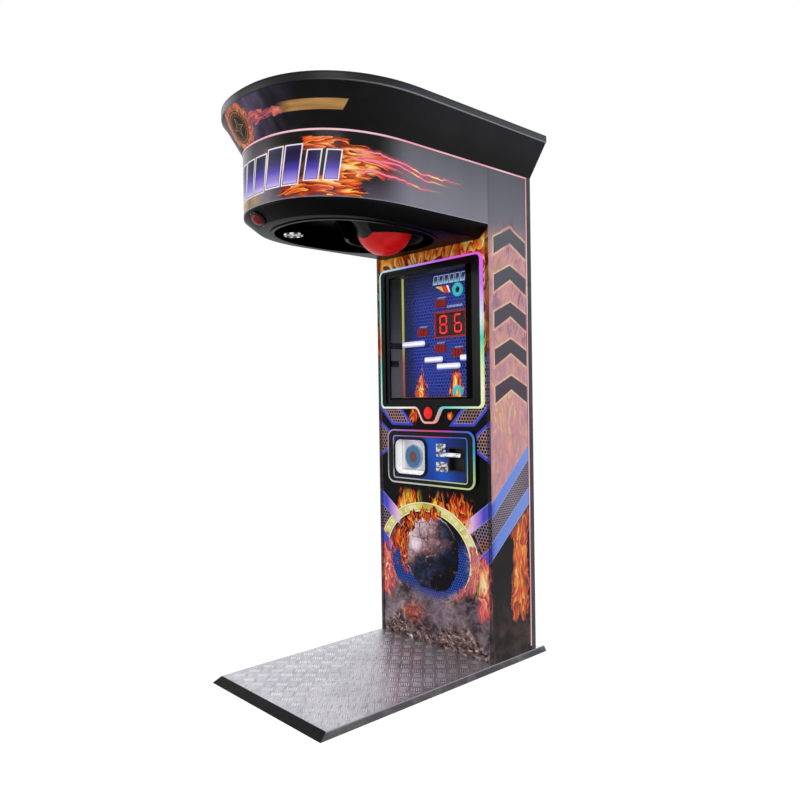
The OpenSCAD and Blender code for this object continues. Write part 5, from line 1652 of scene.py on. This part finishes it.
FINISHES: Dict[str, Finish] = {
    "steel_frame": Paint("frame", "#2a2a2d", "#343438", 0.45),
    "rubber_black": Rubber(),
    "tread": TreadMetal(),
    "ramp_black": Plastic("ramp_black", "#060607", "#0b0b0d", 0.35, 1.0, 0.1, shine=0.1, dust=0.03),
    "ramp_grey": Paint("ramp_grey", "#3a3940", "#46444c", 0.38, lip=18.5),
    "print_side": SideFilm("side", 0.26),
    "print_front": FrontFilm("front", 0.2, shine=0.05),
    "trim": FrontFilm("trim", 0.2, shine=0.14, shade=0.72),
    "black_matte": Plastic("matte", "#0a0a0c", "#131316", 0.5, 1.6, 0.12, shine=0.2),
    "back_steel": Paint("back", "#3a3b40", "#44454a", 0.42),
    "zinc": Metal("zinc", "#b4b6ba", 0.34, (0.3, 1.0, 1.0)),
    "column_light": Strip("column_light", Spread.COLUMN, 0.72),
    "black_gloss": Plastic("gloss", "#040405", "#08080a", 0.16, 0.8, 0.02, shine=0.12, dust=0.0),
    "shell_gloss": Plastic("shell", "#020202", "#040405", 0.34, 0.6, 0.02, shine=0.04, dust=0.0),
    "display_light": Strip("display_light", Spread.DISPLAY, 0.85),
    "clear_glass": Glass(),
    "box_inside": BoxWalls(),
    "score_print": ScoreFilm("score", 0.3, glow=0.36),
    "lamp_cyan": LampFace(),
    "tube_light": Strip("tubes", Spread.TUBES, 0.62),
    "button_red": LitRed("button"),
    "chrome": Chrome(),
    "coin_door": DoorFace(),
    "coin_light": Strip("coin_light", Spread.COIN, 0.62),
    "dish_white": Dish(),
    "disc_print": DishPrint("disc", 0.2, shine=0.3),
    "print_band": BandFilm("band", 0.24),
    "canopy_light": Strip("canopy_light", Spread.CANOPY, 0.72),
    "print_crown": CrownFilm("crown", 0.34, shine=0.08),
    "rim_grey": RimPaint(),
    "iron": Paint("iron", "#26282b", "#303236", 0.5),
    "arm_steel": Metal("arm", "#9a9ca0", 0.3, (1.0, 0.1, 1.0)),
    "ball_red": BallSkin(),
    "board_green": Board(),
}


# Meshes


def grid_faces(rows: int, cols: int, loop_rows: bool = False, loop_cols: bool = False) -> np.ndarray:
    """Numbers the corners of the four-sided faces of a grid of points.

    Args:
        rows: number of rows of points.
        cols: number of points in a row.
        loop_rows: joins the last row to the first.
        loop_cols: joins the last point of each row to the first.

    Returns:
        An array of four indices a face.
    """
    i = np.arange(rows if loop_rows else rows - 1)
    j = np.arange(cols if loop_cols else cols - 1)
    ii, jj = np.meshgrid(i, j, indexing="ij")
    a = ii * cols + jj
    b = ii * cols + (jj + 1) % cols
    c = ((ii + 1) % rows) * cols + (jj + 1) % cols
    d = ((ii + 1) % rows) * cols + jj
    return np.stack([a, b, c, d], -1).reshape(-1, 4)


def copies(one: np.ndarray, count: int, corners: int) -> np.ndarray:
    """Numbers the faces of count copies of a shape that has the given number of corners."""
    return (one[None] + (np.arange(count) * corners)[:, None, None]).reshape(-1, 4)


def add_object(name: str, data: object) -> bpy.types.Object:
    """Puts an object that shows the data into the scene."""
    made = bpy.data.objects.new(name, data)
    bpy.context.scene.collection.objects.link(made)
    return made


def make_piece(name: str, points: np.ndarray, faces: Sequence[Sequence[int]], finish: Finish, body: Body,
               smooth: float = 32.0, arc: Optional[np.ndarray] = None,
               outward: bool = True) -> bpy.types.Object:
    """Puts a mesh into the scene, dresses it and lets it ride on a body.

    Args:
        name: the piece's name.
        points: its corners, in millimetres in the frame's axes.
        faces: indices of each face's corners.
        finish: its finish.
        body: the body that it rides on.
        smooth: faces that meet at less than this angle look smooth, in degrees.
        arc: two numbers a corner, in millimetres, kept as the UV map named arc.
        outward: turns all faces outwards.

    Returns:
        The new object.
    """
    mesh = bpy.data.meshes.new(name)
    mesh.from_pydata((points * MM).tolist(), [], [list(map(int, f)) for f in faces])
    if arc is not None:
        layer = mesh.uv_layers.new(name="arc")
        index = np.zeros(len(mesh.loops), np.int32)
        mesh.loops.foreach_get("vertex_index", index)
        layer.data.foreach_set("uv", (arc[index] * MM).astype(np.float32).ravel())
    mesh.validate()
    piece = add_object(name, mesh)
    if outward:
        turn_outward(mesh)
    if smooth > 0:
        mesh.shade_smooth()
        mesh.set_sharp_from_angle(angle=math.radians(smooth))
    mesh.materials.append(finish.material())
    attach(piece, body.value)
    return piece


def turn_outward(mesh: bpy.types.Mesh) -> None:
    """Merges doubled corners and turns the faces of a closed mesh outwards."""
    work = bmesh.new()
    work.from_mesh(mesh)
    bmesh.ops.remove_doubles(work, verts=work.verts, dist=1e-6)
    bmesh.ops.recalc_face_normals(work, faces=work.faces)
    work.to_mesh(mesh)
    work.free()


NOSE_STEPS = 160
SIDE_STEPS = 12
BACK_STEPS = 40


def nose_path(side: float, front: float, y_end: float, closed: bool) -> np.ndarray:
    """Plan of the canopy as a path from the right rear, round the nose, to the left rear.

    On the nose, x is the half width and y the length, each times a power of cosine and sine, so that
    the path is an ellipse with slightly fuller shoulders.

    Args:
        side: how far the path is grown past the sides.
        front: how far it is grown past the nose.
        y_end: where both sides end.
        closed: adds points along the back.

    Returns:
        The points in x and y.
    """
    t = np.linspace(0.0, np.pi, NOSE_STEPS + 1)
    c, s = np.cos(t), np.sin(t)
    half = S.half_w + side
    x = np.sign(c) * half * np.abs(c) ** (2 / S.nose_power)
    y = S.y_straight - (S.nose_len + front) * np.abs(s) ** (2 / S.nose_power)
    straight = np.linspace(y_end, S.y_straight, SIDE_STEPS + 1)[:-1]
    right = np.stack([np.full(SIDE_STEPS, half), straight], -1)
    left = np.stack([np.full(SIDE_STEPS, -half), straight[::-1]], -1)
    parts = [right, np.stack([x, y], -1), left]
    if closed:
        across = np.linspace(-half, half, BACK_STEPS + 2)[1:-1]
        parts.append(np.stack([across, np.full(BACK_STEPS, y_end)], -1))
    return np.concatenate(parts)


def arc_length(path: np.ndarray) -> np.ndarray:
    """Distance along a path of the nose from its middle, above zero to the right."""
    walked = np.concatenate([[0.0], np.cumsum(np.linalg.norm(np.diff(path, axis=0), axis=1))])
    return walked[SIDE_STEPS + NOSE_STEPS // 2] - walked


def nose_shell(name: str, profile: Sequence[Point3], y_end: float, slot: str, closed: bool,
               replaces: str, ends: Optional[Callable[[float], float]] = None, smooth: float = 32.0) -> None:
    """Carries a closed profile round the canopy's plan.

    Args:
        name: the piece's name.
        profile: side growth, front growth and height of each corner of the profile, in order.
        y_end: where the plan ends at the back.
        slot: its material slot, which names its finish too.
        closed: runs the path across the back too.
        replaces: the CAD node that it stands for.
        ends: how far a corner's path ends past y_end, from its side growth.
        smooth: the smoothing angle.
    """
    arc = arc_length(nose_path(0.0, 0.0, y_end, closed))
    rows, arcs = [], []
    for side, front, z in profile:
        path = nose_path(side, front, y_end + (ends(side) if ends else 0.0), closed)
        rows.append(np.column_stack([path, np.full(len(path), z)]))
        arcs.append(np.column_stack([arc, np.full(len(path), z)]))
    count = len(arc)
    faces = grid_faces(len(rows), count, loop_rows=True, loop_cols=closed).tolist()
    if not closed:
        faces.append([k * count for k in range(len(rows))])
        faces.append([k * count + count - 1 for k in range(len(rows) - 1, -1, -1)])
    points, arcs = np.concatenate(rows), np.concatenate(arcs)
    piece = make_piece(name, points, faces, FINISHES[slot], Body.CABINET, smooth, arcs)
    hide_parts(replaces)


# Sub-assemblies


@dataclass
class Platform:
    """Tread plate with its raised bars."""

    cell: float = 47.0
    cells: int = 34
    bars: int = 5
    bar_half: float = 19.0
    bar_width: float = 2.3
    bar_height: float = 1.1
    pitch: float = 8.6

    def bar_shape(self) -> np.ndarray:
        """One bar as a grid: its width falls as the root of 1 - u², its height as (1 - u⁴)(1 - v²)."""
        u, v = np.meshgrid(np.linspace(-1, 1, 7), np.linspace(-1, 1, 5), indexing="ij")
        wide = np.sqrt(np.clip(1 - u**2, 0.02, 1))
        return np.stack([u * self.bar_half, v * wide * self.bar_width,
            self.bar_height * (1 - u**4) * (1 - v**2) - 0.05], -1).reshape(-1, 3)

    def tread_bars(self) -> None:
        """Sets five bars in each diagonal cell, turned a quarter from cell to cell."""
        shape = self.bar_shape()
        row = np.arange(-self.cells, self.cells + 1)
        i, j, k = np.meshgrid(row, row, np.arange(self.bars), indexing="ij")
        i, j, k = i.ravel(), j.ravel(), k.ravel()
        e1, e2 = np.array([1, 1]) / math.sqrt(2), np.array([-1, 1]) / math.sqrt(2)
        odd = (i + j) % 2
        along = np.where(odd[:, None] == 0, e1, e2)
        across = np.where(odd[:, None] == 0, e2, e1)
        centre = self.cell * (i[:, None] * e1 + j[:, None] * e2) + across * ((k - 2) * self.pitch)[:, None]
        reach = self.bar_half * np.abs(along)
        x, y = centre[:, 0], centre[:, 1]
        inside = (np.abs(x) + reach[:, 0] < S.plate_half - 3) & (y - reach[:, 1] > S.y_plate + 3)
        front = y + reach[:, 1] < S.y_face - 3
        rear = (y - reach[:, 1] > S.y_back + 3) & (y + reach[:, 1] < S.y_rear - 3)
        keep = inside & (front | rear)
        centre, along, across = centre[keep], along[keep], across[keep]
        flat = centre[:, None, :] + shape[None, :, 0:1] * along[:, None, :]
        flat = flat + shape[None, :, 1:2] * across[:, None, :]
        z = np.broadcast_to(S.plate_top + shape[:, 2], flat.shape[:2])
        points = np.concatenate([flat, z[..., None]], -1).reshape(-1, 3)
        faces = copies(grid_faces(7, 5), len(centre), len(shape))
        LOG.info("tread bars: %d", len(centre))
        make_piece("tread_bars", points, faces.tolist(), FINISHES["tread"], Body.CABINET, 60.0,
            outward=False)

    def build(self) -> None:
        """Builds the platform's own pieces."""
        self.tread_bars()


@dataclass
class Canopy:
    """Band, light strip, crown, rim and lower shell as smooth surfaces round the nose."""

    band_t: float = 12.0
    led_d: float = 6.0
    led_out: float = 1.0
    shell_t: float = 4.0
    chamfer: float = 48.0
    lip: float = 10.0
    rim_t: float = 8.0

    def band(self) -> None:
        """Builds the printed band with the rebate for its light strip."""
        t, d = self.band_t, self.led_d
        profile = [(0, 0, S.z_band), (0, 0, S.z_led), (-d, -d, S.z_led), (-d, -d, S.z_crown),
            (-t, -t, S.z_crown), (-t, -t, S.z_band)]
        nose_shell("canopy_band_skin", profile, S.y_face, "print_band", False, "canopy_band")

    def light(self) -> None:
        """Builds the light strip with its rounded front."""
        out, d = self.led_out, self.led_d
        profile = [(-d, -d, S.z_led), (out - 1, out - 1, S.z_led), (out, out, S.z_led + 2),
            (out, out, S.z_crown - 2), (out - 1, out - 1, S.z_crown), (-d, -d, S.z_crown)]
        nose_shell("canopy_light_strip", profile, S.y_post, "canopy_light", False, "canopy_led")

    def crown(self) -> None:
        """Builds the flared crown with a soft fold at its foot."""
        s, f, t, band = S.flare_side - S.rim_step, S.flare_front - S.rim_step, self.shell_t, self.band_t
        rise = S.z_rim - S.z_crown
        outer = [(s * k, f * k, S.z_crown + rise * k) for k in (0.0, 0.012, 0.25, 0.5, 0.75, 0.99, 1.0)]
        inner = [(s - t, f - t, S.z_rim), (-t, -t, S.z_crown + t), (-band, -band, S.z_crown + t),
            (-band, -band, S.z_crown)]
        nose_shell("crown_skin", outer + inner, S.y_back, "print_crown", True, "crown_shell",
            lambda side: min(side, 0.0))

    def rim(self) -> None:
        """Builds the rim: a rounded foot, a groove under its top and a small round at the top edge."""
        s, f, t = S.flare_side, S.flare_front, self.rim_t
        z0, z1 = S.z_rim, S.z_top
        profile = [(s - 1.2, f - 1.2, z0), (s - 0.3, f - 0.3, z0 + 0.5), (s, f, z0 + 1.5), (s, f, z1 - 7.5),
            (s - 1.0, f - 1.0, z1 - 7.0), (s - 1.0, f - 1.0, z1 - 6.0), (s, f, z1 - 5.5), (s, f, z1 - 2.0),
            (s - 0.6, f - 0.6, z1 - 0.6), (s - 2.0, f - 2.0, z1), (s - t, f - t, z1), (s - t, f - t, z1 - 6),
            (s - t - 14, f - t - 14, z1 - 6), (s - t - 14, f - t - 14, z1 - 12), (s - t, f - t, z1 - 12),
            (s - t, f - t, z0)]
        nose_shell("rim_skin", profile, S.y_back, "rim_grey", True, "crown_rim", lambda side: side - s, 40.0)

    def seams(self) -> None:
        """Builds the two thin joint covers where the rim's front and rear halves meet."""
        y = S.y_straight + 62.3
        for sign, name in ((1, "rim_joint_right"), (-1, "rim_joint_left")):
            x = sign * S.half_w + sign * S.flare_side
            u, v = np.meshgrid(np.linspace(-1, 1, 7), np.linspace(0, 1, 9), indexing="ij")
            bulge = np.sqrt(np.clip(1 - u**2, 0, 1))
            cover = [x - sign * 0.6 + sign * 0.5 * bulge, y + u * 1.6, S.z_rim + 1.5 + v * 21.0]
            make_piece(name, np.stack(cover, -1).reshape(-1, 3), grid_faces(7, 9).tolist(),
                FINISHES["black_matte"], Body.CABINET, 60.0, outward=False)

    def oval_at(self, angles: np.ndarray, grow: float) -> np.ndarray:
        """Points of the tray's oval in given directions from its middle.

        The oval is where the 2.3rd powers of x and y over the half sizes sum to one, so its reach in
        a direction is that sum at a unit step, to the power of minus 1 over 2.3.
        """
        a, b, n = S.tray_hw + grow, S.tray_hl + grow, 2.3
        c, s = np.cos(angles), np.sin(angles)
        reach = (np.abs(c / a) ** n + np.abs(s / b) ** n) ** (-1 / n)
        return np.stack([reach * c, S.tray_y + reach * s], -1)

    def shell(self) -> None:
        """Builds the lower shell: bottom with the tray's hole, chamfer, lip and the walls inside."""
        c, t = self.chamfer, self.shell_t
        z0, z1, z2 = S.under_z, S.z_band - self.lip, S.z_band

        def ring(grow: float, z: float, end: float) -> np.ndarray:
            """One ring of the plan at a height."""
            path = nose_path(grow, grow, end, True)
            return np.column_stack([path, np.full(len(path), z)])

        def hole(like: np.ndarray, z: float) -> np.ndarray:
            """The hole's edge in the directions of another ring's points."""
            angles = np.arctan2(like[:, 1] - S.tray_y, like[:, 0])
            return np.column_stack([self.oval_at(angles, 3.8), np.full(len(like), z)])

        foot = ring(-c - 1.5, z0, S.y_face)
        rows = [hole(foot, z0), foot, ring(-c + 0.6, z0 + 0.9, S.y_face), ring(-0.6, z1 - 0.9, S.y_face),
            ring(0.0, z1 + 1.0, S.y_face), ring(0.0, z2, S.y_face), ring(-t, z2, S.y_face - t),
            ring(-t, z1 + t / 2, S.y_face - t), ring(-c - t / 2, z0 + t, S.y_face - t)]
        rows.append(hole(rows[-1], z0 + t))
        faces = grid_faces(len(rows), len(foot), True, True).tolist()
        piece = make_piece("lower_shell_skin", np.concatenate(rows), faces, FINISHES["shell_gloss"],
            Body.CABINET, 28.0)
        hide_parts("lower_shell")

    def build(self) -> None:
        """Builds all of the canopy's own pieces."""
        for step in (self.band, self.light, self.crown, self.rim, self.seams, self.shell):
            step()
            LOG.info("canopy: %s", step.__name__)


@dataclass
class Ball:
    """Punch ball: a padded pear sewn from six gores, with a collar at its neck."""

    radius: float = 119.0
    arm_len: float = 317.0
    neck: float = 152.0
    axle_y: float = -271.5
    axle_z: float = 1880.0
    caught: float = 79.0
    gores: int = 6

    def to_frame(self, points: np.ndarray) -> np.ndarray:
        """Turns points from the arm's own axes, where the ball hangs along -Z, to the caught place."""
        a = math.radians(self.caught)
        y = points[..., 1] * math.cos(a) - points[..., 2] * math.sin(a)
        z = points[..., 1] * math.sin(a) + points[..., 2] * math.cos(a)
        return np.stack([points[..., 0], y + self.axle_y, z + self.axle_z], -1)

    def profile(self, steps: int) -> np.ndarray:
        """Radius and height of the ball's outline from its foot to its neck.

        A circle up to 40 degrees above its middle, then a smooth line through the CAD cone's points.
        """
        r = self.radius - 0.8
        a = np.radians(np.linspace(-90, 40, steps))
        circle = np.stack([r * np.cos(a), r * np.sin(a)], -1)
        cone = np.array([[0.70, 0.74], [0.66, 0.80], [0.595, 0.875], [0.53, 0.95], [0.47, 1.025], [0.41, 1.1],
            [0.362, 1.17], [0.32, 1.24]]) * r
        neck = np.array([[30.0, self.arm_len - self.neck - 10], [30.0, self.arm_len - self.neck - 0.5],
            [0.01, self.arm_len - self.neck - 0.5]])
        return np.concatenate([circle, cone, neck])

    def skin(self) -> None:
        """Builds the padded skin: the outline turned round, pulled in along the gores' seams."""
        line = self.profile(66)
        turns = 216
        theta = np.linspace(0, 2 * np.pi, turns, endpoint=False)
        gore = np.abs(((theta * self.gores / (2 * np.pi)) % 1.0) - 0.5) * 2
        apart = (1 - gore)[None, :] * (np.pi / self.gores) * np.maximum(line[:, 0], 1.0)[:, None]
        seam = np.exp(-((apart / 2.2) ** 2))
        fade = np.clip((line[:, 0] - 6) / 20, 0, 1)[:, None]
        share = np.clip(apart / np.maximum(line[:, 0:1] * np.pi / self.gores, 1.0), 0, 1)
        puff = 0.6 * np.sin(share * np.pi / 2)
        r = line[:, 0:1] - 1.7 * seam * fade + puff * fade - 0.6 * fade
        points = np.stack([r * np.cos(theta), r * np.sin(theta),
            np.broadcast_to(line[:, 1:2], r.shape) - self.arm_len], -1)
        points = self.to_frame(points).reshape(-1, 3)
        faces = grid_faces(len(line), turns, False, True).tolist()
        foot, top = len(points), len(points) + 1
        tips = self.to_frame(np.array([[0.0, 0.0, line[0, 1] - self.arm_len],
            [0.0, 0.0, line[-1, 1] - self.arm_len]]))
        last = (len(line) - 1) * turns
        faces += [[(j + 1) % turns, j, foot] for j in range(turns)]
        faces += [[last + j, last + (j + 1) % turns, top] for j in range(turns)]
        piece = make_piece("ball_skin", np.concatenate([points, tips]), faces, FINISHES["ball_red"],
            Body.BALL_ARM, 50.0)
        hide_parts("punch_ball")

    def stitches(self) -> None:
        """Lays short stitches on both sides of each seam."""
        line = self.profile(66)[6:66]
        walked = np.concatenate([[0.0], np.cumsum(np.linalg.norm(np.diff(line, axis=0), axis=1))])
        at = np.arange(8.0, walked[-1] - 4.0, 5.5)
        r = np.interp(at, walked, line[:, 0])
        z = np.interp(at, walked, line[:, 1])
        dr = np.gradient(r, at)
        dz = np.gradient(z, at)
        parts, faces, count = [], [], 0
        u, v = np.meshgrid(np.linspace(-1, 1, 4), np.linspace(0, 2 * np.pi, 5, endpoint=False), indexing="ij")
        for seam in range(self.gores):
            mid = 2 * np.pi * seam / self.gores
            for side in (-1, 1):
                theta = mid + side * 3.6 / r
                out = np.stack([dz * np.cos(theta), dz * np.sin(theta), -dr], -1)
                along = np.stack([dr * np.cos(theta), dr * np.sin(theta), dz], -1)
                across = np.cross(out, along)
                sunk = r - 0.35
                centre = np.stack([sunk * np.cos(theta), sunk * np.sin(theta), z - self.arm_len], -1)
                thick = 0.38 * np.sqrt(np.clip(1 - u**2 * 0.85, 0, 1))
                shape = (centre[:, None, None] + along[:, None, None] * (u * 1.9)[None, ..., None]
                    + out[:, None, None] * (thick * np.sin(v))[None, ..., None]
                    + across[:, None, None] * (thick * np.cos(v))[None, ..., None])
                parts.append(self.to_frame(shape).reshape(-1, 3))
                faces.append(copies(grid_faces(4, 5, False, True), len(r), 20) + count)
                count += len(r) * 20
        make_piece("ball_stitches", np.concatenate(parts), np.concatenate(faces).tolist(), Thread("ball"),
            Body.BALL_ARM, 60.0, outward=False)

    def build(self) -> None:
        """Builds the ball."""
        self.skin()
        self.stitches()


@dataclass
class Screws:
    """Round-headed screws with a cross, in one mesh for each place."""

    radius: float = 4.5
    height: float = 2.2

    def heads(self, name: str, at: Sequence[Point3], facing: Point3, slot: str) -> None:
        """Builds screw heads.

        A head is a dome whose height falls as the root of 1 - (r / radius)², pressed in along a cross.

        Args:
            name: the piece's name.
            at: the middle of each head's seat, in millimetres.
            facing: the way that the heads point.
            slot: their material slot, which names their finish too.
        """
        out = np.array(facing, float) / np.linalg.norm(facing)
        helper = np.array([0.0, 0.0, 1.0]) if abs(out[2]) < 0.9 else np.array([1.0, 0.0, 0.0])
        e1 = np.cross(helper, out)
        e1 /= np.linalg.norm(e1)
        e2 = np.cross(out, e1)
        rings, turns = 6, 24
        r, t = np.meshgrid(np.linspace(1.0, 0.0, rings) ** 0.8,
            np.linspace(0, 2 * np.pi, turns, endpoint=False), indexing="ij")
        x, y = r * np.cos(t), r * np.sin(t)
        dome = np.sqrt(np.clip(1 - r**2 * 0.98, 0, 1))
        cross = np.exp(-((np.minimum(np.abs(x), np.abs(y)) / 0.14) ** 4)) * (r < 0.62)
        h = self.height * (dome * 0.85 + 0.1) - cross * 0.8
        h[0] = -0.2
        points = (np.array(at)[:, None, None] + e1 * (x * self.radius)[None, ..., None]
            + e2 * (y * self.radius)[None, ..., None] + out * h[None, ..., None]).reshape(-1, 3)
        faces = copies(grid_faces(rings, turns, False, True), len(at), rings * turns)
        make_piece(name, points, faces.tolist(), FINISHES[slot], Body.CABINET, 45.0, outward=False)

    def build(self) -> None:
        """Sets screws where panels are fixed."""
        back = S.y_back
        at = [(x, back, z) for x in (-318.0, 318.0) for z in np.linspace(120.0, 1960.0, 8)]
        at += [(x, back, z) for x in (-200.0, 0.0, 200.0) for z in (60.0, 170.0, 1870.0, 2000.0)]
        self.heads("back_screws", at, (0, 1, 0), "zinc")
        sides = [(S.half_w, y, 48.0) for y in (320.0, 430.0, 525.0)]
        self.heads("side_screws_right", sides, (1, 0, 0), "black_matte")
        self.heads("side_screws_left", [(-x, y, z) for x, y, z in sides], (-1, 0, 0), "black_matte")
        LOG.info("screws: %d", len(at) + 2 * len(sides))


@dataclass
class Studio:
    """White room, soft lamps and the camera at the photograph's angle."""

    eye: Point3 = (2.2665, -1.9786, 1.1090)
    yaw: float = 0.8267
    pitch: float = -0.0131
    roll: float = -0.0152
    focal_px: float = 731.79
    centre_px: Point2 = (399.18, 408.15)
    frame_px: float = 800.0
    sensor: float = 36.0

    def camera(self) -> None:
        """Aims the camera by yaw, pitch and roll, and shifts it to the photograph's middle."""
        forward = Vector((-math.sin(self.yaw) * math.cos(self.pitch),
            math.cos(self.yaw) * math.cos(self.pitch), math.sin(self.pitch)))
        right = Vector((math.cos(self.yaw), math.sin(self.yaw), 0.0))
        up = right.cross(forward)
        c, s = math.cos(self.roll), math.sin(self.roll)
        level, tall = c * right + s * up, -s * right + c * up
        data = bpy.data.cameras.new("camera")
        data.sensor_width = self.sensor
        data.lens = self.focal_px * self.sensor / self.frame_px
        data.shift_x = (self.frame_px / 2 - self.centre_px[0]) / self.frame_px
        data.shift_y = (self.centre_px[1] - self.frame_px / 2) / self.frame_px
        data.clip_end = 200.0
        camera = add_object("camera", data)
        turned = Matrix((level, tall, -forward)).transposed().to_4x4()
        camera.matrix_world = Matrix.Translation(self.eye) @ turned
        bpy.context.scene.camera = camera

    def lamp(self, name: str, place: Point3, aim: Point3, size: float, power: float) -> None:
        """Adds a white, square, soft lamp.

        Args:
            name: its name.
            place: where it stands, in metres.
            aim: the point that it faces.
            size: its side, in metres.
            power: its power in watts.
        """
        data = bpy.data.lights.new(name, "AREA")
        data.shape = "SQUARE"
        data.size = size
        data.energy = power
        lamp = add_object(name, data)
        lamp.location = place
        lamp.rotation_euler = (Vector(place) - Vector(aim)).to_track_quat("Z", "Y").to_euler()

    def seen(self, g: Graph) -> Val:
        """1 for rays that come straight, by a mirror or through glass, and 0 for soft light."""
        path = g.node("ShaderNodeLightPath")
        kinds = [Val(g, path.outputs[n]) for n in ("Is Camera Ray", "Is Glossy Ray", "Is Transmission Ray")]
        return kinds[0].most(kinds[1]).most(kinds[2])

    def world(self) -> None:
        """Makes a white world that lights the machine softly."""
        world = bpy.data.worlds.new("studio")
        bpy.context.scene.world = world
        g = fresh_graph(world)
        back = g.node("ShaderNodeBackground")
        g.set(back, Color=(1, 1, 1, 1), Strength=self.seen(g) * 0.45 + 0.55)
        g.set(g.node("ShaderNodeOutputWorld"), Surface=Val(g, back.outputs[0]))

    def floor(self) -> None:
        """Lays a pale floor that keeps a soft shadow."""
        size = 40.0
        mesh = bpy.data.meshes.new("floor")
        corners = [(-size, -size, 0.0), (size, -size, 0.0), (size, size, 0.0), (-size, size, 0.0)]
        mesh.from_pydata(corners, [], [[0, 1, 2, 3]])
        piece = add_object("floor", mesh)
        material = bpy.data.materials.new("floor")
        g = fresh_graph(material)
        soft = g.node("ShaderNodeBsdfDiffuse")
        g.set(soft, Color=(0.9, 0.9, 0.9, 1))
        bright = g.node("ShaderNodeEmission")
        g.set(bright, Strength=1.2)
        mix = g.node("ShaderNodeMixShader")
        fed = (self.seen(g) * 0.72, Val(g, soft.outputs[0]), Val(g, bright.outputs[0]))
        for socket, value in zip(mix.inputs, fed):
            g.feed(socket, value)
        g.set(g.node("ShaderNodeOutputMaterial"), Surface=Val(g, mix.outputs[0]))
        mesh.materials.append(material)

    def build(self) -> None:
        """Builds the studio."""
        self.camera()
        self.world()
        self.floor()
        self.lamp("key", (3.2, -2.6, 3.4), (0.0, 0.0, 1.1), 2.2, 62.0)
        self.lamp("front", (-1.8, -3.6, 2.2), (0.0, 0.0, 1.2), 2.0, 40.0)
        self.lamp("side", (4.2, 1.4, 2.0), (0.2, 0.3, 1.2), 2.0, 34.0)
        self.lamp("back", (-1.5, 4.0, 3.0), (0.0, 0.5, 1.2), 2.4, 40.0)
        bpy.context.scene.view_settings.view_transform = "Standard"


@dataclass
class Dressing:
    """Gives every CAD node that stays its finish."""

    nodes: Dict[str, bpy.types.Object]
    slots: Dict[str, str]
    own: Dict[str, Finish] = field(default_factory=dict)

    def build(self) -> None:
        """Assigns a material to each node, by its own finish or else its slot's."""
        for name, node in self.nodes.items():
            finish = self.own.get(name) or FINISHES[self.slots[name]]
            node.data.materials.clear()
            node.data.materials.append(finish.material())
            weld = node.modifiers.new("weld", "WELD")
            weld.merge_threshold = 1e-6
        LOG.info("dressed %d nodes", len(self.nodes))


def slot_of_nodes(record: dict) -> Dict[str, str]:
    """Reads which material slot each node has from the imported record.

    Args:
        record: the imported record.

    Returns:
        The slot of each node.
    """
    return {row["node"]: row["material_slot"] for row in record["subparts"]}


def own_finishes() -> Dict[str, Finish]:
    """Finishes of the nodes that need more than their slot's."""
    digit_x, digit_z, wide, tall, play = 104.2, 1434.0, 45.9, 41.5, 0.3
    bar = wide * 0.17
    edge = digit_x + wide / 2
    top_right = (edge - bar - play, edge + play, digit_z + 5.0, digit_z + tall - bar * 0.7 + play)
    large = (60.0, digit_z, 192.0, 118.0, 2)
    small = tuple((x, S.disp_z + z, 58.0, 36.0, 3) for x, z in ((0, 466), (-118, 345), (-8, 267), (96, 243)))
    return {
        "score_displays": Digits("score", S.score_y - 9.0, (large,) + small, (top_right,)),
        "edge_trims": FINISHES["trim"],
        "coin_door": FINISHES["coin_door"],
        "tray": FINISHES["shell_gloss"],
        "ball_cup": FINISHES["shell_gloss"],
        "start_bezel": FINISHES["black_gloss"],
        "canopy_button": LitRed("dome", 0.0, "#5c0406", "#74080a"),
        "downlight": Lens(),
    }


def main() -> None:
    """Loads the frame, dresses it, and builds the machine's own pieces in order."""
    logging.basicConfig(level=logging.INFO, format="%(name)s: %(message)s")
    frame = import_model()
    Dressing(frame["nodes"], slot_of_nodes(frame["record"]), own_finishes()).build()
    for part in (Platform(), Canopy(), Ball(), Screws(), Studio()):
        part.build()
        LOG.info("built %s", type(part).__name__)


if __name__ == "__main__":
    main()
